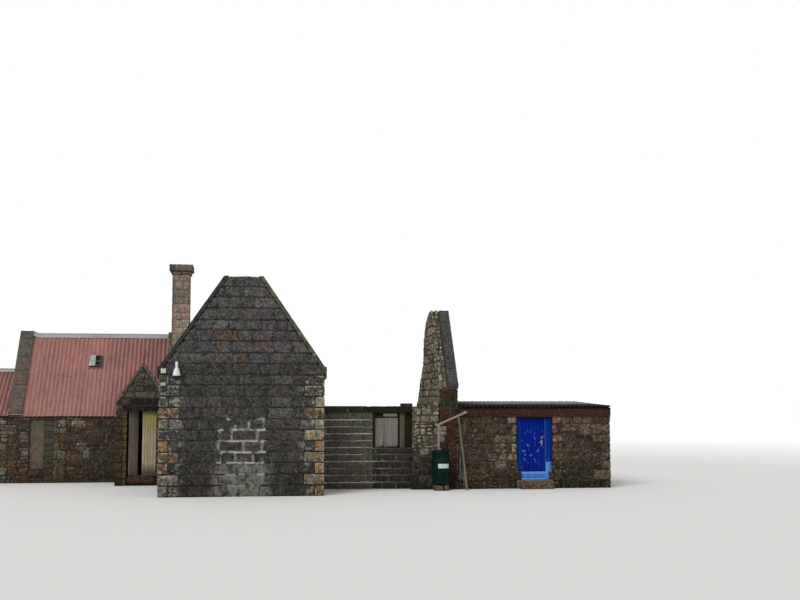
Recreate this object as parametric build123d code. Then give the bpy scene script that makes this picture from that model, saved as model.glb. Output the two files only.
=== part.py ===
from build123d import *
import math
import os

# Station building of stone, partly in ruin: a tall gabled wing, a roofless main range with one
# end gable left, a low store with a blue door, and a lower range and porch under corrugated roofs.
# Millimetres. +X runs along the front to the right, +Y back to the platform side, +Z up. The
# origin is the middle of the underside of the wing's front gable wall.

# Stone walls
wall = 620
thin_wall = 450
coping = 120
skewputt = 60
skewputt_drop = 200
seat_gap = 0.3

# Wing
wing_width = 4915
wing_pitch = 55.5
wing_skew_foot = 3860
wing_cut = 6580
wing_head = 3400
rear_door_width = 1000
rear_door_height = 2100

# Main range, roofless
main_setback = 2080
main_length = 4485
main_span = 5000
main_skew_foot = 3420
main_cut = 5920
main_coping_depth = 320
ruin_head = 2400
ruin_gap = 1100
ruin_gap_place = 1500

# Stub of the old front wall against the end gable
stub_width = 810
stub_height = 2700
stub_foot = 120
stub_step = 1200

# Block infill and its window
block_wall = 215
block_setback = 420
block_head = 2670
window_width = 1320
window_sill = 1320
window_head = 2465
lintel_bearing = 190
board_width = 730
board_height = 965
board_inset = 105
board_thick = 20
post_width = 200
post_thick = 60
post_gap = 60
slab_length = 400
slab_height = 90

# Left range and its dividing gable
left_setback = 6940
left_span = 3880
left_length = 4840
left_eave = 2390
left_pitch = 56.5
left_overlap = 280
skew_rise = 110
divide_wall = 480
blocked_left = 250
blocked_width = 830
blocked_sill = 470
blocked_head = 2210
blocked_recess = 90
blocked_thick = 215
inner_door_place = 200
inner_door_width = 860
inner_door_head = 2100
floor_top = 310

# Lower bay beyond the dividing gable
low_length = 2220
low_pitch = 40
low_skew_rise = 90

# Chimney
chimney_width = 650
chimney_depth = 900
chimney_top = 7910
cap_projection = 115
cap_height = 250
cap_neck = 120
neck_projection = 40

# Corrugated sheets
wave = 146
wave_depth = 47
wave_flats = 6
sheet = 7
eave_overhang = 90
ridge_gap = 30
ridge_wing = 190
ridge_thick = 12
rooflight_width = 420
rooflight_height = 480
rooflight_place = 2090
rooflight_up = 1110
rooflight_frame = 45
rooflight_rise = 90
rooflight_pane = 12

# Purlins
purlin_width = 75
purlin_depth = 150

# Porch
porch_setback = 5100
porch_width = 1760
porch_skew_foot = 2870
porch_pitch = 55.6
porch_wall = 400
porch_door_width = 960
porch_door_head = 2500
porch_sheet_drop = 260
threshold_height = 250
threshold_tread = 330
porch_coping = 90
ledger_width = 50

# Porch doors
leaf_thick = 45
leaf_edge_gap = 8
leaf_meeting_gap = 12
leaf_floor_gap = 10
leaf_setback = 170
leaf_open = 55

# Hinges: an eye on a strap hangs on a pin that stands on a hook in the jamb
pin_radius = 7
pin_play = 0.3
eye_radius = 15
eye_height = 50
hook_height = 12
hook_reach = 6
hook_half = 7
hinge_offset = 24
strap_thick = 6
strap_length = 330
hinge_inset = 260

# Store
store_length = 5100
store_depth = 4200
store_eave = 2640
store_rise = 150
store_floor = 280
fascia_height = 290
fascia_top = 2620
frame_drop = 20
fascia_thick = 30
store_overhang = 90
opening_left = 1930
opening_width = 1205
frame_left = 170
frame_right = 235
frame_head = 60
frame_depth = 100
frame_setback = 110
sill_height = 260
store_leaf_setback = 10
step_width = 1120
step_depth = 330
step_height = 240
handle_height = 1205
handle_edge = 100
plate_width = 40
plate_height = 160
plate_thick = 6
lever_length = 110
lever_thick = 16
lever_reach = 46

# Rainwater
pipe_radius = 36
pipe_start_x = 180
pipe_start_z = 2470
pipe_bend_z = 2085
pipe_from_butt_axis = 60
butt_radius = 290
butt_height = 1070
butt_base = 200
butt_place_x = 660
butt_place_y = 400
butt_rings = 2
butt_ring = 16
butt_ring_height = 50
butt_lid = 60
butt_stand_inset = 50

# Leaning pole and upright pipe
pole_radius = 40
pole_height = 2310
pole_lean_x = 180
pole_lean_y = 400
grey_radius = 40
grey_height = 1030
grey_foot = 270

# Fittings on the wing
camera_place_x = 520
camera_top = 3980
camera_neck = 40
camera_neck_height = 200
camera_shoulder = 70
camera_bell_height = 213
camera_bell = 117
camera_dome = 98
camera_drop = 162
camera_bracket = 180
box_place_x = 130
box_high = 3642
box_low = 3275
box_width = 150
box_high_height = 135
box_low_height = 90
box_depth = 80

# Places that follow from the sizes above
wing_west = -wing_width / 2
wing_east = wing_width / 2
wing_front = -wall / 2
main_front = wing_front + main_setback
main_rear = main_front + main_span
end_east = wing_east + main_length
end_west = end_east - wall
stub_west = end_west - stub_width
left_front = wing_front + left_setback
left_rear = left_front + left_span
wing_rear = left_rear
left_ridge_y = left_front + left_span / 2
left_east = wing_west - left_overlap
left_west = left_east - left_length
divide_west = left_west - divide_wall
low_west = divide_west - low_length
porch_front = wing_front + porch_setback
porch_west = wing_west - porch_width
porch_middle = wing_west - porch_width / 2
store_east = end_east + store_length
store_rear = main_front + store_depth
block_front = main_front + block_setback
window_east = stub_west
window_west = stub_west - window_width
sheet_total = wave_depth + sheet
shared_east = wing_west + wall


def tan_of(pitch):
    return math.tan(math.radians(pitch))


def cos_of(pitch):
    return math.cos(math.radians(pitch))


def slab(x0, x1, y0, y1, z0, z1):
    """A plain rectangular block between two corners."""
    corner = (Align.MIN, Align.MIN, Align.MIN)
    return Pos(x0, y0, z0) * Box(x1 - x0, y1 - y0, z1 - z0, align=corner)


def across(points, y0, y1):
    """An outline of (x, z) points made into a wall from y0 back to y1."""
    plane = Plane(origin=(0, y1, 0), x_dir=(1, 0, 0), z_dir=(0, -1, 0))
    return extrude(plane * make_face(Polyline(*points, close=True)), amount=y1 - y0)


def along(points, x0, x1):
    """An outline of (y, z) points made into a wall from x0 to x1."""
    plane = Plane(origin=(x0, 0, 0), x_dir=(0, 1, 0), z_dir=(1, 0, 0))
    return extrude(plane * make_face(Polyline(*points, close=True)), amount=x1 - x0)


def write(shape, node):
    export_step(shape, f"parts/{node}.step")


def gable_outline(middle, span, foot, cut, pitch, base=0):
    """A gable wall's outline: upright sides to the foot, slopes, and a flat top at the cut."""
    half = span / 2
    top = half - (cut - foot) / tan_of(pitch)
    crown = [(middle + top, cut), (middle - top, cut)]
    if top <= 0:
        crown = [(middle, foot + half * tan_of(pitch))]
    return (
        [(middle - half, base), (middle + half, base), (middle + half, foot)]
        + crown
        + [(middle - half, foot)]
    )


def skew_outline(middle, span, foot, cut, pitch, side, thick):
    """The coping on one slope of a gable, with a skewputt that corbels out at its foot."""
    half = span / 2
    rise = thick / cos_of(pitch)
    outer = max(0, half - (cut - foot) / tan_of(pitch))
    inner = max(0, half - (cut - foot + rise) / tan_of(pitch))
    points = [
        (half, foot - rise - skewputt_drop),
        (half + skewputt, foot - rise - skewputt_drop + skewputt),
        (half + skewputt, foot),
        (half, foot),
        (outer, foot + (half - outer) * tan_of(pitch)),
        (inner, foot - rise + (half - inner) * tan_of(pitch)),
        (half, foot - rise),
    ]
    return [(middle + side * x, z) for x, z in points]


def wave_edge(length, base):
    """The wavy edge of a sheet as points of a cosine, with a few flats to each wave."""
    count = round(length / wave) * wave_flats
    rise = wave_depth / 2
    turn = 2 * math.pi / wave_flats
    step = length / count
    return [(number * step, base + rise * math.cos(number * turn)) for number in range(count + 1)]


def corrugated(length, run):
    """A corrugated sheet, waves along X, the fall along Y, its crests at the height 0."""
    upper = wave_edge(length, -wave_depth / 2)
    lower = wave_edge(length, -wave_depth / 2 - sheet)
    plane = Plane(origin=(0, run, 0), x_dir=(1, 0, 0), z_dir=(0, -1, 0))
    outline = Polyline(*upper, *reversed(lower), close=True)
    return extrude(plane * make_face(outline), amount=run)


def slope_plane(x0, y0, z0, pitch):
    """Plane on a front slope: local X along the range, local Y up the slope."""
    angle = math.radians(pitch)
    return Plane(
        origin=(x0, y0, z0),
        x_dir=(1, 0, 0),
        z_dir=(0, -math.sin(angle), math.cos(angle)),
    )


def to_rear(shape, ridge_y):
    """The same piece on the other slope of a roof whose ridge stands at ridge_y."""
    return mirror(shape, about=Plane(origin=(0, ridge_y, 0), z_dir=(0, 1, 0)))


def both_slopes(shape, ridge_y):
    return Compound(children=[shape, to_rear(shape, ridge_y)])


# Wing

def wing_wall_foot():
    return wing_skew_foot - coping / cos_of(wing_pitch)


def wing_front_gable():
    outline = gable_outline(0, wing_width, wing_wall_foot(), wing_cut, wing_pitch)
    return across(outline, wing_front, wing_front + wall)


def wing_skews():
    skews = []
    for side in (-1, 1):
        outline = skew_outline(0, wing_width, wing_skew_foot, wing_cut, wing_pitch, side, coping)
        skews.append(across(outline, wing_front, wing_front + wall))
        skews.append(across(outline, wing_rear - wall, wing_rear))
    return Compound(children=skews)


def wing_west_wall():
    """Long wall of the wing, carried on over the gable that it shares with the left range."""
    long_wall = slab(wing_west, shared_east, wing_front + wall, wing_rear - wall, 0, wing_head)
    return long_wall - shared_gable()


def wing_east_wall():
    return slab(wing_east - wall, wing_east, wing_front + wall, wing_rear - wall, 0, wing_head)


def wing_rear_piers():
    half = rear_door_width / 2
    west = slab(shared_east, -half, wing_rear - wall, wing_rear, 0, rear_door_height)
    east = slab(half, wing_east, wing_rear - wall, wing_rear, 0, rear_door_height)
    return Compound(children=[west, east])


def wing_rear_gable():
    foot = wing_wall_foot()
    outline = gable_outline(0, wing_width, foot, wing_cut, wing_pitch, rear_door_height)
    return across(outline, wing_rear - wall, wing_rear) - shared_gable()


# Main range

def main_wall_foot():
    return main_skew_foot - coping / cos_of(wing_pitch)


def main_end_gable():
    """End gable, its front slope whole and its rear slope fallen away in a ragged line."""
    middle = main_front + main_span / 2
    flat = main_span / 2 - (main_cut - main_wall_foot()) / tan_of(wing_pitch)
    rise = main_cut - main_wall_foot()
    broken = [
        (-0.593, 1.0),
        (-0.27, 0.937),
        (-0.068, 0.83),
        (0.104, 0.66),
        (0.158, 0.476),
        (0.227, 0.34),
        (0.533, 0.145),
        (0.855, -0.114),
        (1.0, -0.15),
    ]
    rear_edge = [
        (middle + flat + (main_span / 2 - flat) * run, main_wall_foot() + rise * up)
        for run, up in broken
    ]
    outline = [
        (main_rear, 0),
        (main_front, 0),
        (main_front, main_wall_foot()),
        (middle - flat, main_cut),
    ]
    return along(outline + rear_edge, end_west, end_east)


def main_end_skew():
    middle = main_front + main_span / 2
    outline = skew_outline(middle, main_span, main_skew_foot, main_cut, wing_pitch, -1, coping)
    return along(outline, end_east - main_coping_depth, end_east)


def front_wall_stub():
    """Broken end of the old front wall, ragged towards the block wall."""
    west = stub_west
    foot = west - stub_foot
    outline = [
        (foot, 0),
        (end_west, 0),
        (end_west, stub_height + stub_foot),
        (end_west - stub_width / 4, stub_height + stub_foot),
        (end_west - stub_width / 3, stub_height),
        (west + stub_width / 4, stub_height),
        (west + stub_width / 6, block_head),
        (west, block_head),
        (west, stub_step),
        (foot, stub_step - stub_foot),
    ]
    return across(outline, main_front, main_front + wall)


def block_infill():
    """Concrete block wall between the wing and the window."""
    rear = block_front + block_wall
    return slab(wing_east, window_west, block_front, rear, 0, block_head) - window_lintel()


def window_apron():
    """Block wall below the window, butting the stub of the old wall."""
    rear = block_front + block_wall
    west = window_west
    outline = [
        (west, 0),
        (stub_west - stub_foot, 0),
        (stub_west - stub_foot, stub_step - stub_foot),
        (stub_west, stub_step),
        (stub_west, window_sill),
        (west, window_sill),
    ]
    return across(outline, block_front, rear)


def window_lintel():
    """Timber beam over the window, on the block wall at one end and the stub at the other."""
    west = window_west - lintel_bearing
    rear = block_front + block_wall
    return slab(west, window_east, block_front, rear, window_head, block_head)


# Left range, the lower bay beyond it and the gable that divides them

def under_sheets(pitch):
    """How far the underside of a sheet lies below its crests, measured straight down."""
    return sheet_total / cos_of(pitch)


left_head = left_eave - under_sheets(left_pitch)
low_head = left_eave - under_sheets(low_pitch)
inner_door_east = left_east - inner_door_place
inner_door_west = inner_door_east - inner_door_width
blocked_west = left_west + blocked_left
blocked_east = blocked_west + blocked_width


def blocked_cut(y0, y1):
    return slab(blocked_west, blocked_east, y0, y1, blocked_sill, blocked_head)


def left_front_wall():
    front = left_front
    back = left_front + wall
    west = slab(left_west, inner_door_west, front, back, 0, left_head)
    east = slab(inner_door_east, left_east, front, back, 0, left_head)
    return Compound(children=[west - blocked_cut(front, back), east])


def left_rear_wall():
    front = left_rear - wall
    return slab(left_west, left_east, front, left_rear, 0, left_head) - blocked_cut(front, left_rear)


def blocked_panels():
    """Later masonry that fills the old openings, set back a little from the wall face."""
    front = left_front + blocked_recess
    panel = blocked_cut(front, front + blocked_thick)
    return both_slopes(panel, left_ridge_y)


def stone_lintels():
    """Lintels over the inner doorway and over the store's doorway."""
    back = left_front + wall
    inner = slab(inner_door_west, inner_door_east, left_front, back, inner_door_head, left_head)
    back = main_front + thin_wall
    west = opening_west
    store = slab(west, opening_east, main_front, back, opening_head, store_front_head)
    return Compound(children=[inner, store])


def dividing_gable():
    foot = left_eave + skew_rise - coping / cos_of(left_pitch)
    crown = foot + left_span * tan_of(left_pitch)
    outline = gable_outline(left_ridge_y, left_span, foot, crown, left_pitch)
    return along(outline, divide_west, left_west)


def dividing_skews():
    """Copings on both slopes, meeting at the top of the gable as one length of stone."""
    foot = left_eave + skew_rise
    crown = foot + left_span * tan_of(left_pitch)
    front = skew_outline(left_ridge_y, left_span, foot, crown, left_pitch, -1, coping)
    skew = along(front, divide_west, left_west)
    return skew + to_rear(skew, left_ridge_y)


def shared_gable():
    """Thick gable between the left range and the wing, with a level seat for the chimney."""
    foot = left_eave + skew_rise
    crown = foot + left_span * tan_of(left_pitch)
    outline = gable_outline(left_ridge_y, left_span, foot, crown, left_pitch)
    return along(outline, left_east, shared_east) - around_chimney(0, chimney_seat(), crown)


def chimney_seat():
    return left_eave + skew_rise + (left_span - chimney_depth) / 2 * tan_of(left_pitch)


def around_chimney(grow, z0, z1):
    """A block round the chimney's middle, wider than the shaft by grow on each side."""
    middle = (left_east + shared_east) / 2
    half_x = chimney_width / 2 + grow
    half_y = chimney_depth / 2 + grow
    y = left_ridge_y
    return slab(middle - half_x, middle + half_x, y - half_y, y + half_y, z0, z1)


def chimney_stack():
    return around_chimney(0, chimney_seat(), chimney_top - cap_height - cap_neck)


def chimney_cap():
    neck = chimney_top - cap_height
    return around_chimney(neck_projection, neck - cap_neck, neck) + around_chimney(
        cap_projection, neck, chimney_top
    )


def low_side_walls():
    front = slab(low_west + divide_wall, divide_west, left_front, left_front + wall, 0, low_head)
    return both_slopes(front, left_ridge_y)


def low_end_gable():
    foot = left_eave + low_skew_rise
    crown = foot + left_span * tan_of(low_pitch)
    outline = gable_outline(left_ridge_y, left_span, foot, crown, low_pitch)
    return along(outline, low_west, low_west + divide_wall)


def range_sheets(west, east, pitch):
    """The sheets on the front slope of the range, from the eave overhang to near the ridge."""
    x_eave = left_front - eave_overhang * cos_of(pitch)
    z_eave = left_eave - eave_overhang * math.sin(math.radians(pitch))
    stop = sheet_total * tan_of(pitch) + ridge_gap
    run = left_span / 2 / cos_of(pitch) + eave_overhang - stop
    return slope_plane(west, x_eave, z_eave, pitch) * corrugated(east - west, run)


def rooflight_place_on(grow, depth0, depth1):
    """A block at the rooflight's place on the front slope, between two depths from the crests."""
    plane = slope_plane(left_west + rooflight_place, left_front, left_eave, left_pitch)
    low = rooflight_up / cos_of(left_pitch) - grow
    high = low + rooflight_height + 2 * grow
    return plane * slab(-grow, rooflight_width + grow, low, high, depth0, depth1)


def left_roof_front():
    opening = rooflight_place_on(0, -2 * sheet_total, sheet_total)
    return range_sheets(left_west, left_east, left_pitch) - opening


def left_roof_rear():
    return to_rear(range_sheets(left_west, left_east, left_pitch), left_ridge_y)


def rooflight():
    """Upstand of the rooflight, with a flange on the crests and a bar up its middle."""
    upstand = rooflight_place_on(0, -sheet_total, rooflight_rise)
    upstand += rooflight_place_on(rooflight_frame, 0, ridge_thick)
    upstand -= rooflight_place_on(-rooflight_frame, -2 * sheet_total, 2 * rooflight_rise)
    plane = slope_plane(left_west + rooflight_place, left_front, left_eave, left_pitch)
    low = rooflight_up / cos_of(left_pitch) + rooflight_frame
    high = low + rooflight_height - 2 * rooflight_frame
    middle = rooflight_width / 2
    half = rooflight_frame / 2
    bar = plane * slab(middle - half, middle + half, low, high, 0, rooflight_rise)
    return upstand + bar


def rooflight_pane_left():
    """The pane that is left, resting on its own half of the upstand."""
    plane = slope_plane(left_west + rooflight_place, left_front, left_eave, left_pitch)
    low = rooflight_up / cos_of(left_pitch)
    high = low + rooflight_height
    top = rooflight_rise + rooflight_pane
    return plane * slab(0, rooflight_width / 2, low, high, rooflight_rise, top)


def low_roof():
    sheets = range_sheets(low_west + divide_wall, divide_west, low_pitch)
    return both_slopes(sheets, left_ridge_y)


def ridge_angle(middle, foot, span, pitch):
    """Outline of a bent ridge flashing that lies on the crests of both slopes."""
    apex = foot + span / 2 * tan_of(pitch)
    out = ridge_wing * cos_of(pitch)
    down = ridge_wing * math.sin(math.radians(pitch))
    rise = ridge_thick / cos_of(pitch)
    return [
        (middle - out, apex - down),
        (middle, apex),
        (middle + out, apex - down),
        (middle + out, apex - down + rise),
        (middle, apex + rise),
        (middle - out, apex - down + rise),
    ]


def ridge_flashings():
    left = ridge_angle(left_ridge_y, left_eave, left_span, left_pitch)
    low = ridge_angle(left_ridge_y, left_eave, left_span, low_pitch)
    porch = ridge_angle(porch_middle, porch_sheet_foot, porch_width, porch_pitch)
    over_porch = across(porch, porch_front + porch_wall, left_ridge_y) - under_left_roof()
    return Compound(
        children=[
            along(left, left_west, left_east),
            along(low, low_west + divide_wall, divide_west),
            over_porch,
        ]
    )


def purlins_on(plane, length, places):
    """Purlins under the sheets of a slope, at the given distances up it."""
    half = purlin_width / 2
    low = -sheet_total - purlin_depth
    return [plane * slab(0, length, y - half, y + half, low, -sheet_total) for y in places]


def range_purlins(west, east, pitch):
    """Purlins clear of the wall head, one low and one high on the front slope."""
    slope = left_span / 2 / cos_of(pitch)
    first = wall / cos_of(pitch) + 2 * purlin_width
    last = slope - sheet_total * tan_of(pitch) - 4 * purlin_width
    plane = slope_plane(west, left_front, left_eave, pitch)
    return purlins_on(plane, east - west, [first, last])


def roof_purlins():
    beams = range_purlins(left_west, left_east, left_pitch)
    beams += range_purlins(low_west + divide_wall, divide_west, low_pitch)
    beams += [to_rear(beam, left_ridge_y) for beam in beams]
    plane = slope_plane(end_east, main_front, store_crest, store_pitch)
    inner = store_depth - thin_wall
    places = [thin_wall + purlin_width, store_depth / 2, inner - purlin_width]
    beams += purlins_on(plane, store_length - thin_wall, places)
    return Compound(children=beams)


# Porch in the angle between the left range and the wing

porch_sheet_foot = porch_skew_foot - porch_sheet_drop
porch_head = porch_sheet_foot - under_sheets(porch_pitch)
porch_door_west = porch_middle - porch_door_width / 2
porch_door_east = porch_middle + porch_door_width / 2
porch_crown = porch_skew_foot + porch_width * tan_of(porch_pitch)


def under_left_roof():
    """Everything in front of the ridge that lies below the left range's sheets."""
    edge = left_front - eave_overhang * cos_of(left_pitch)
    drop = eave_overhang * math.sin(math.radians(left_pitch))
    outline = [
        (edge, 0),
        (left_ridge_y, 0),
        (left_ridge_y, left_eave + left_span / 2 * tan_of(left_pitch)),
        (edge, left_eave - drop),
    ]
    return along(outline, porch_west - porch_width, wing_west + porch_width)


def left_eave_band():
    """The space that the left range's sheets take up along their front eave."""
    angle = math.radians(left_pitch)
    y_eave = left_front - eave_overhang * math.cos(angle)
    z_eave = left_eave - eave_overhang * math.sin(angle)
    plane = slope_plane(left_west, y_eave, z_eave, left_pitch)
    return plane * slab(0, left_length, 0, wall, -sheet_total, 2 * sheet_total)


def porch_piers():
    back = porch_front + porch_wall
    west = slab(porch_west, porch_door_west, porch_front, back, 0, porch_door_head)
    east = slab(porch_door_east, wing_west, porch_front, back, 0, porch_door_head)
    return Compound(children=[west, east])


def porch_gable():
    foot = porch_skew_foot - porch_coping / cos_of(porch_pitch)
    outline = gable_outline(
        porch_middle, porch_width, foot, porch_crown, porch_pitch, porch_door_head
    )
    return across(outline, porch_front, porch_front + porch_wall)


def porch_skews():
    """Copings on the porch gable, plain at the foot and joined at the top."""
    half = porch_width / 2
    rise = porch_coping / cos_of(porch_pitch)
    apex = porch_skew_foot + half * tan_of(porch_pitch)
    outline = [
        (porch_middle - half, porch_skew_foot - rise),
        (porch_middle, apex - rise),
        (porch_middle + half, porch_skew_foot - rise),
        (porch_middle + half, porch_skew_foot),
        (porch_middle, apex),
        (porch_middle - half, porch_skew_foot),
    ]
    return across(outline, porch_front, porch_front + porch_wall)


def porch_side_wall():
    """Side wall of the porch, with its head cut to pass under the left range's eave."""
    back = porch_front + porch_wall
    side = slab(porch_west, porch_west + porch_wall, back, left_front, 0, porch_head)
    return side - left_eave_band()


def porch_slope(overhang):
    """Sheets on the porch's west slope, out past the wall by the overhang."""
    angle = math.radians(porch_pitch)
    x_eave = porch_west - overhang * math.cos(angle)
    z_eave = porch_sheet_foot - overhang * math.sin(angle)
    stop = sheet_total * math.tan(angle) + ridge_gap
    run = porch_width / 2 / math.cos(angle) + overhang - stop
    plane = Plane(
        origin=(x_eave, left_ridge_y, z_eave),
        x_dir=(0, -1, 0),
        z_dir=(-math.sin(angle), 0, math.cos(angle)),
    )
    return plane * corrugated(left_ridge_y - porch_front - porch_wall, run)


def porch_roof():
    west = porch_slope(eave_overhang) - under_left_roof()
    plain = porch_slope(0) - under_left_roof()
    east = flip_about(plain, porch_middle) - shared_gable()
    return Compound(children=[west, east])


def porch_ledger():
    """Timber along the wing wall that carries the porch roof's east slope."""
    back = porch_front + porch_wall
    top = porch_head
    return slab(wing_west - ledger_width, wing_west, back, left_front, top - purlin_depth, top)


def porch_threshold():
    """Threshold stone with a hollow under its front edge."""
    front = porch_front
    back = porch_front + threshold_tread
    low = floor_top - threshold_height
    outline = [
        (front, low),
        (front, floor_top),
        (back, floor_top),
        (back, 0),
        (front + low, 0),
        (front + low, low),
    ]
    return along(outline, porch_door_west, porch_door_east)


def left_floor():
    """Built floor of the porch, carried on through the inner doorway and over the left range."""
    tread = porch_front + threshold_tread
    back = porch_front + porch_wall
    inner = left_front + wall
    floor = slab(porch_door_west, porch_door_east, tread, back, 0, floor_top)
    floor += slab(porch_west + porch_wall, wing_west, back, left_front, 0, floor_top)
    floor += slab(inner_door_west, inner_door_east, left_front, inner, 0, floor_top)
    floor += slab(left_west, left_east, inner, left_rear - wall, 0, floor_top)
    return floor


# Doors and what they hang on

def hinge_heights(low, high):
    return [low + hinge_inset, high - hinge_inset]


def door_leaf(axis, width, low, high):
    """A leaf hung on the left, closed: its pin axis stands behind its inner face."""
    x, y = axis
    edge = x - hinge_offset + leaf_edge_gap
    back = y - eye_radius
    leaf = slab(edge, edge + width, back - leaf_thick, back, low, high)
    for height in hinge_heights(low, high):
        base = height + pin_play
        eye = Pos(x, y, base + eye_height / 2) * Cylinder(eye_radius, eye_height)
        strap = slab(x, x + strap_length, back, back + strap_thick, base, base + eye_height)
        bore = Pos(x, y, base + eye_height / 2) * Cylinder(pin_radius + pin_play, 2 * eye_height)
        leaf = leaf + (eye + strap) - bore
    return leaf


def hinge_hooks(axis, jamb, low, high):
    """The hooks that stand out of a jamb on the left, each with its upright pin."""
    x, y = axis
    hooks = []
    for height in hinge_heights(low, high):
        top = height
        arm = slab(jamb, x + hook_reach, y - hook_half, y + hook_half, top - hook_height, top)
        pin = Pos(x, y, top + eye_height / 2) * Cylinder(pin_radius, eye_height)
        hooks.append(arm + pin)
    return hooks


def flip_about(shape, x):
    return mirror(shape, about=Plane(origin=(x, 0, 0), z_dir=(1, 0, 0)))


porch_leaf_width = (porch_door_width - 2 * leaf_edge_gap - leaf_meeting_gap) / 2
porch_leaf_low = floor_top + leaf_floor_gap
porch_leaf_high = porch_door_head - leaf_edge_gap
porch_axis_y = porch_front + leaf_setback + leaf_thick + eye_radius
porch_axis = (porch_door_west + hinge_offset, porch_axis_y)


def porch_leaf():
    return door_leaf(porch_axis, porch_leaf_width, porch_leaf_low, porch_leaf_high)


def porch_door_left():
    """The left leaf, standing open into the porch."""
    x, y = porch_axis
    return Pos(x, y, 0) * Rot(0, 0, leaf_open) * Pos(-x, -y, 0) * porch_leaf()


def porch_door_right():
    return flip_about(porch_leaf(), porch_middle)


opening_west = end_east + opening_left
opening_east = opening_west + opening_width
frame_inner_west = opening_west + frame_left
frame_inner_east = opening_east - frame_right
frame_front = main_front + frame_setback
store_leaf_width = frame_inner_east - frame_inner_west - 2 * leaf_edge_gap
store_leaf_low = store_floor + sill_height + leaf_floor_gap
opening_head = fascia_top - fascia_height - frame_drop
store_leaf_high = opening_head - frame_head - leaf_edge_gap
store_axis_y = frame_front + store_leaf_setback + leaf_thick + eye_radius
store_axis = (frame_inner_west + hinge_offset, store_axis_y)


def store_door():
    """The blue leaf, with a lever handle near its free edge."""
    leaf = door_leaf(store_axis, store_leaf_width, store_leaf_low, store_leaf_high)
    x = frame_inner_east - leaf_edge_gap - handle_edge
    face = store_axis_y - eye_radius - leaf_thick
    z = store_floor + handle_height
    half = plate_width / 2
    low = z - plate_height / 2
    plate = slab(x - half, x + half, face - plate_thick, face, low, low + plate_height)
    front = face - lever_reach
    bar = lever_thick / 2
    lever = slab(x + bar - lever_length, x + bar, front, front + lever_thick, z - bar, z + bar)
    spindle = slab(x - bar, x + bar, front, face, z - bar, z + bar)
    return leaf + plate + lever + spindle


def hinge_pins():
    hooks = hinge_hooks(porch_axis, porch_door_west, porch_leaf_low, porch_leaf_high)
    hooks += [flip_about(hook, porch_middle) for hook in hooks]
    hooks += hinge_hooks(store_axis, frame_inner_west, store_leaf_low, store_leaf_high)
    return Compound(children=hooks)


def store_frame():
    """Blue timber frame: two planks at the jambs, a head and a deep sill board."""
    back = frame_front + frame_depth
    frame = slab(opening_west, opening_east, frame_front, back, store_floor, opening_head)
    inner_low = store_floor + sill_height
    inner_high = opening_head - frame_head
    hole = slab(
        frame_inner_west, frame_inner_east, main_front, main_front + wall, inner_low, inner_high
    )
    return frame - hole


# Store

store_pitch = math.degrees(math.atan(store_rise / store_depth))
store_crest = store_eave + sheet_total
store_front_head = store_crest - under_sheets(store_pitch)
store_rear_head = store_front_head + store_rise


def store_front_wall():
    back = main_front + thin_wall
    west = slab(end_east, opening_west, main_front, back, 0, store_front_head)
    east_x = store_east - thin_wall
    east = slab(opening_east, east_x, main_front, back, 0, store_front_head)
    return Compound(children=[west, east])


def store_end_wall():
    outline = [
        (main_front, 0),
        (store_rear, 0),
        (store_rear, store_rear_head),
        (main_front, store_front_head),
    ]
    return along(outline, store_east - thin_wall, store_east)


def store_rear_wall():
    front = store_rear - thin_wall
    head = store_rear_head - thin_wall * tan_of(store_pitch)
    return slab(end_east, store_east - thin_wall, front, store_rear, 0, head)


def store_roof():
    angle = math.radians(store_pitch)
    y_eave = main_front - store_overhang * math.cos(angle)
    z_eave = store_crest - store_overhang * math.sin(angle)
    run = store_depth / math.cos(angle) + 2 * store_overhang
    plane = slope_plane(end_east, y_eave, z_eave, store_pitch)
    return plane * corrugated(store_length, run)


def store_fascia():
    return slab(
        end_east, store_east, main_front - fascia_thick, main_front, fascia_top - fascia_height,
        fascia_top,
    )


def store_floor_slab():
    back = main_front + thin_wall
    inner_east = store_east - thin_wall
    floor = slab(end_east, inner_east, back, store_rear - thin_wall, 0, store_floor)
    return floor + slab(opening_west, opening_east, main_front, back, 0, store_floor)


def store_step():
    middle = (opening_west + opening_east) / 2
    half = step_width / 2
    return slab(middle - half, middle + half, main_front - step_depth, main_front, 0, step_height)


# Rainwater, pole, pipe and fittings

butt_x = end_east - butt_place_x
butt_y = main_front - butt_place_y
butt_top = butt_base + butt_height


def downpipe():
    """Pipe from the fascia, down across the end gable and into the lid of the butt."""
    start = (end_east + pipe_start_x, main_front - fascia_thick, pipe_start_z)
    corner = (end_east + pipe_start_x, butt_y, pipe_start_z)
    bend = (butt_x - pipe_from_butt_axis, butt_y, pipe_bend_z)
    end = (butt_x - pipe_from_butt_axis, butt_y, butt_top)
    section = Plane(origin=start, z_dir=(0, -1, 0)) * Circle(pipe_radius)
    return sweep(section, path=Polyline(start, corner, bend, end), transition=Transition.RIGHT)


def water_butt():
    """Plastic butt with raised rings and a flat lid, on a low square stand."""
    inner = butt_radius - butt_ring
    half_ring = butt_ring_height / 2
    points = [(0, butt_base), (inner, butt_base)]
    for number in range(butt_rings):
        middle = butt_base + (number + 1) * butt_height / (butt_rings + 1)
        points += [(inner, middle - half_ring), (butt_radius, middle), (inner, middle + half_ring)]
    points += [(inner, butt_top - butt_lid), (butt_radius, butt_top - butt_lid)]
    points += [(butt_radius, butt_top), (0, butt_top)]
    barrel = revolve(Plane.XZ * make_face(Polyline(*points, close=True)), axis=Axis.Z)
    half = butt_radius - butt_stand_inset
    stand = slab(-half, half, -half, half, 0, butt_base)
    return Pos(butt_x, butt_y, 0) * (barrel + stand)


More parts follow.
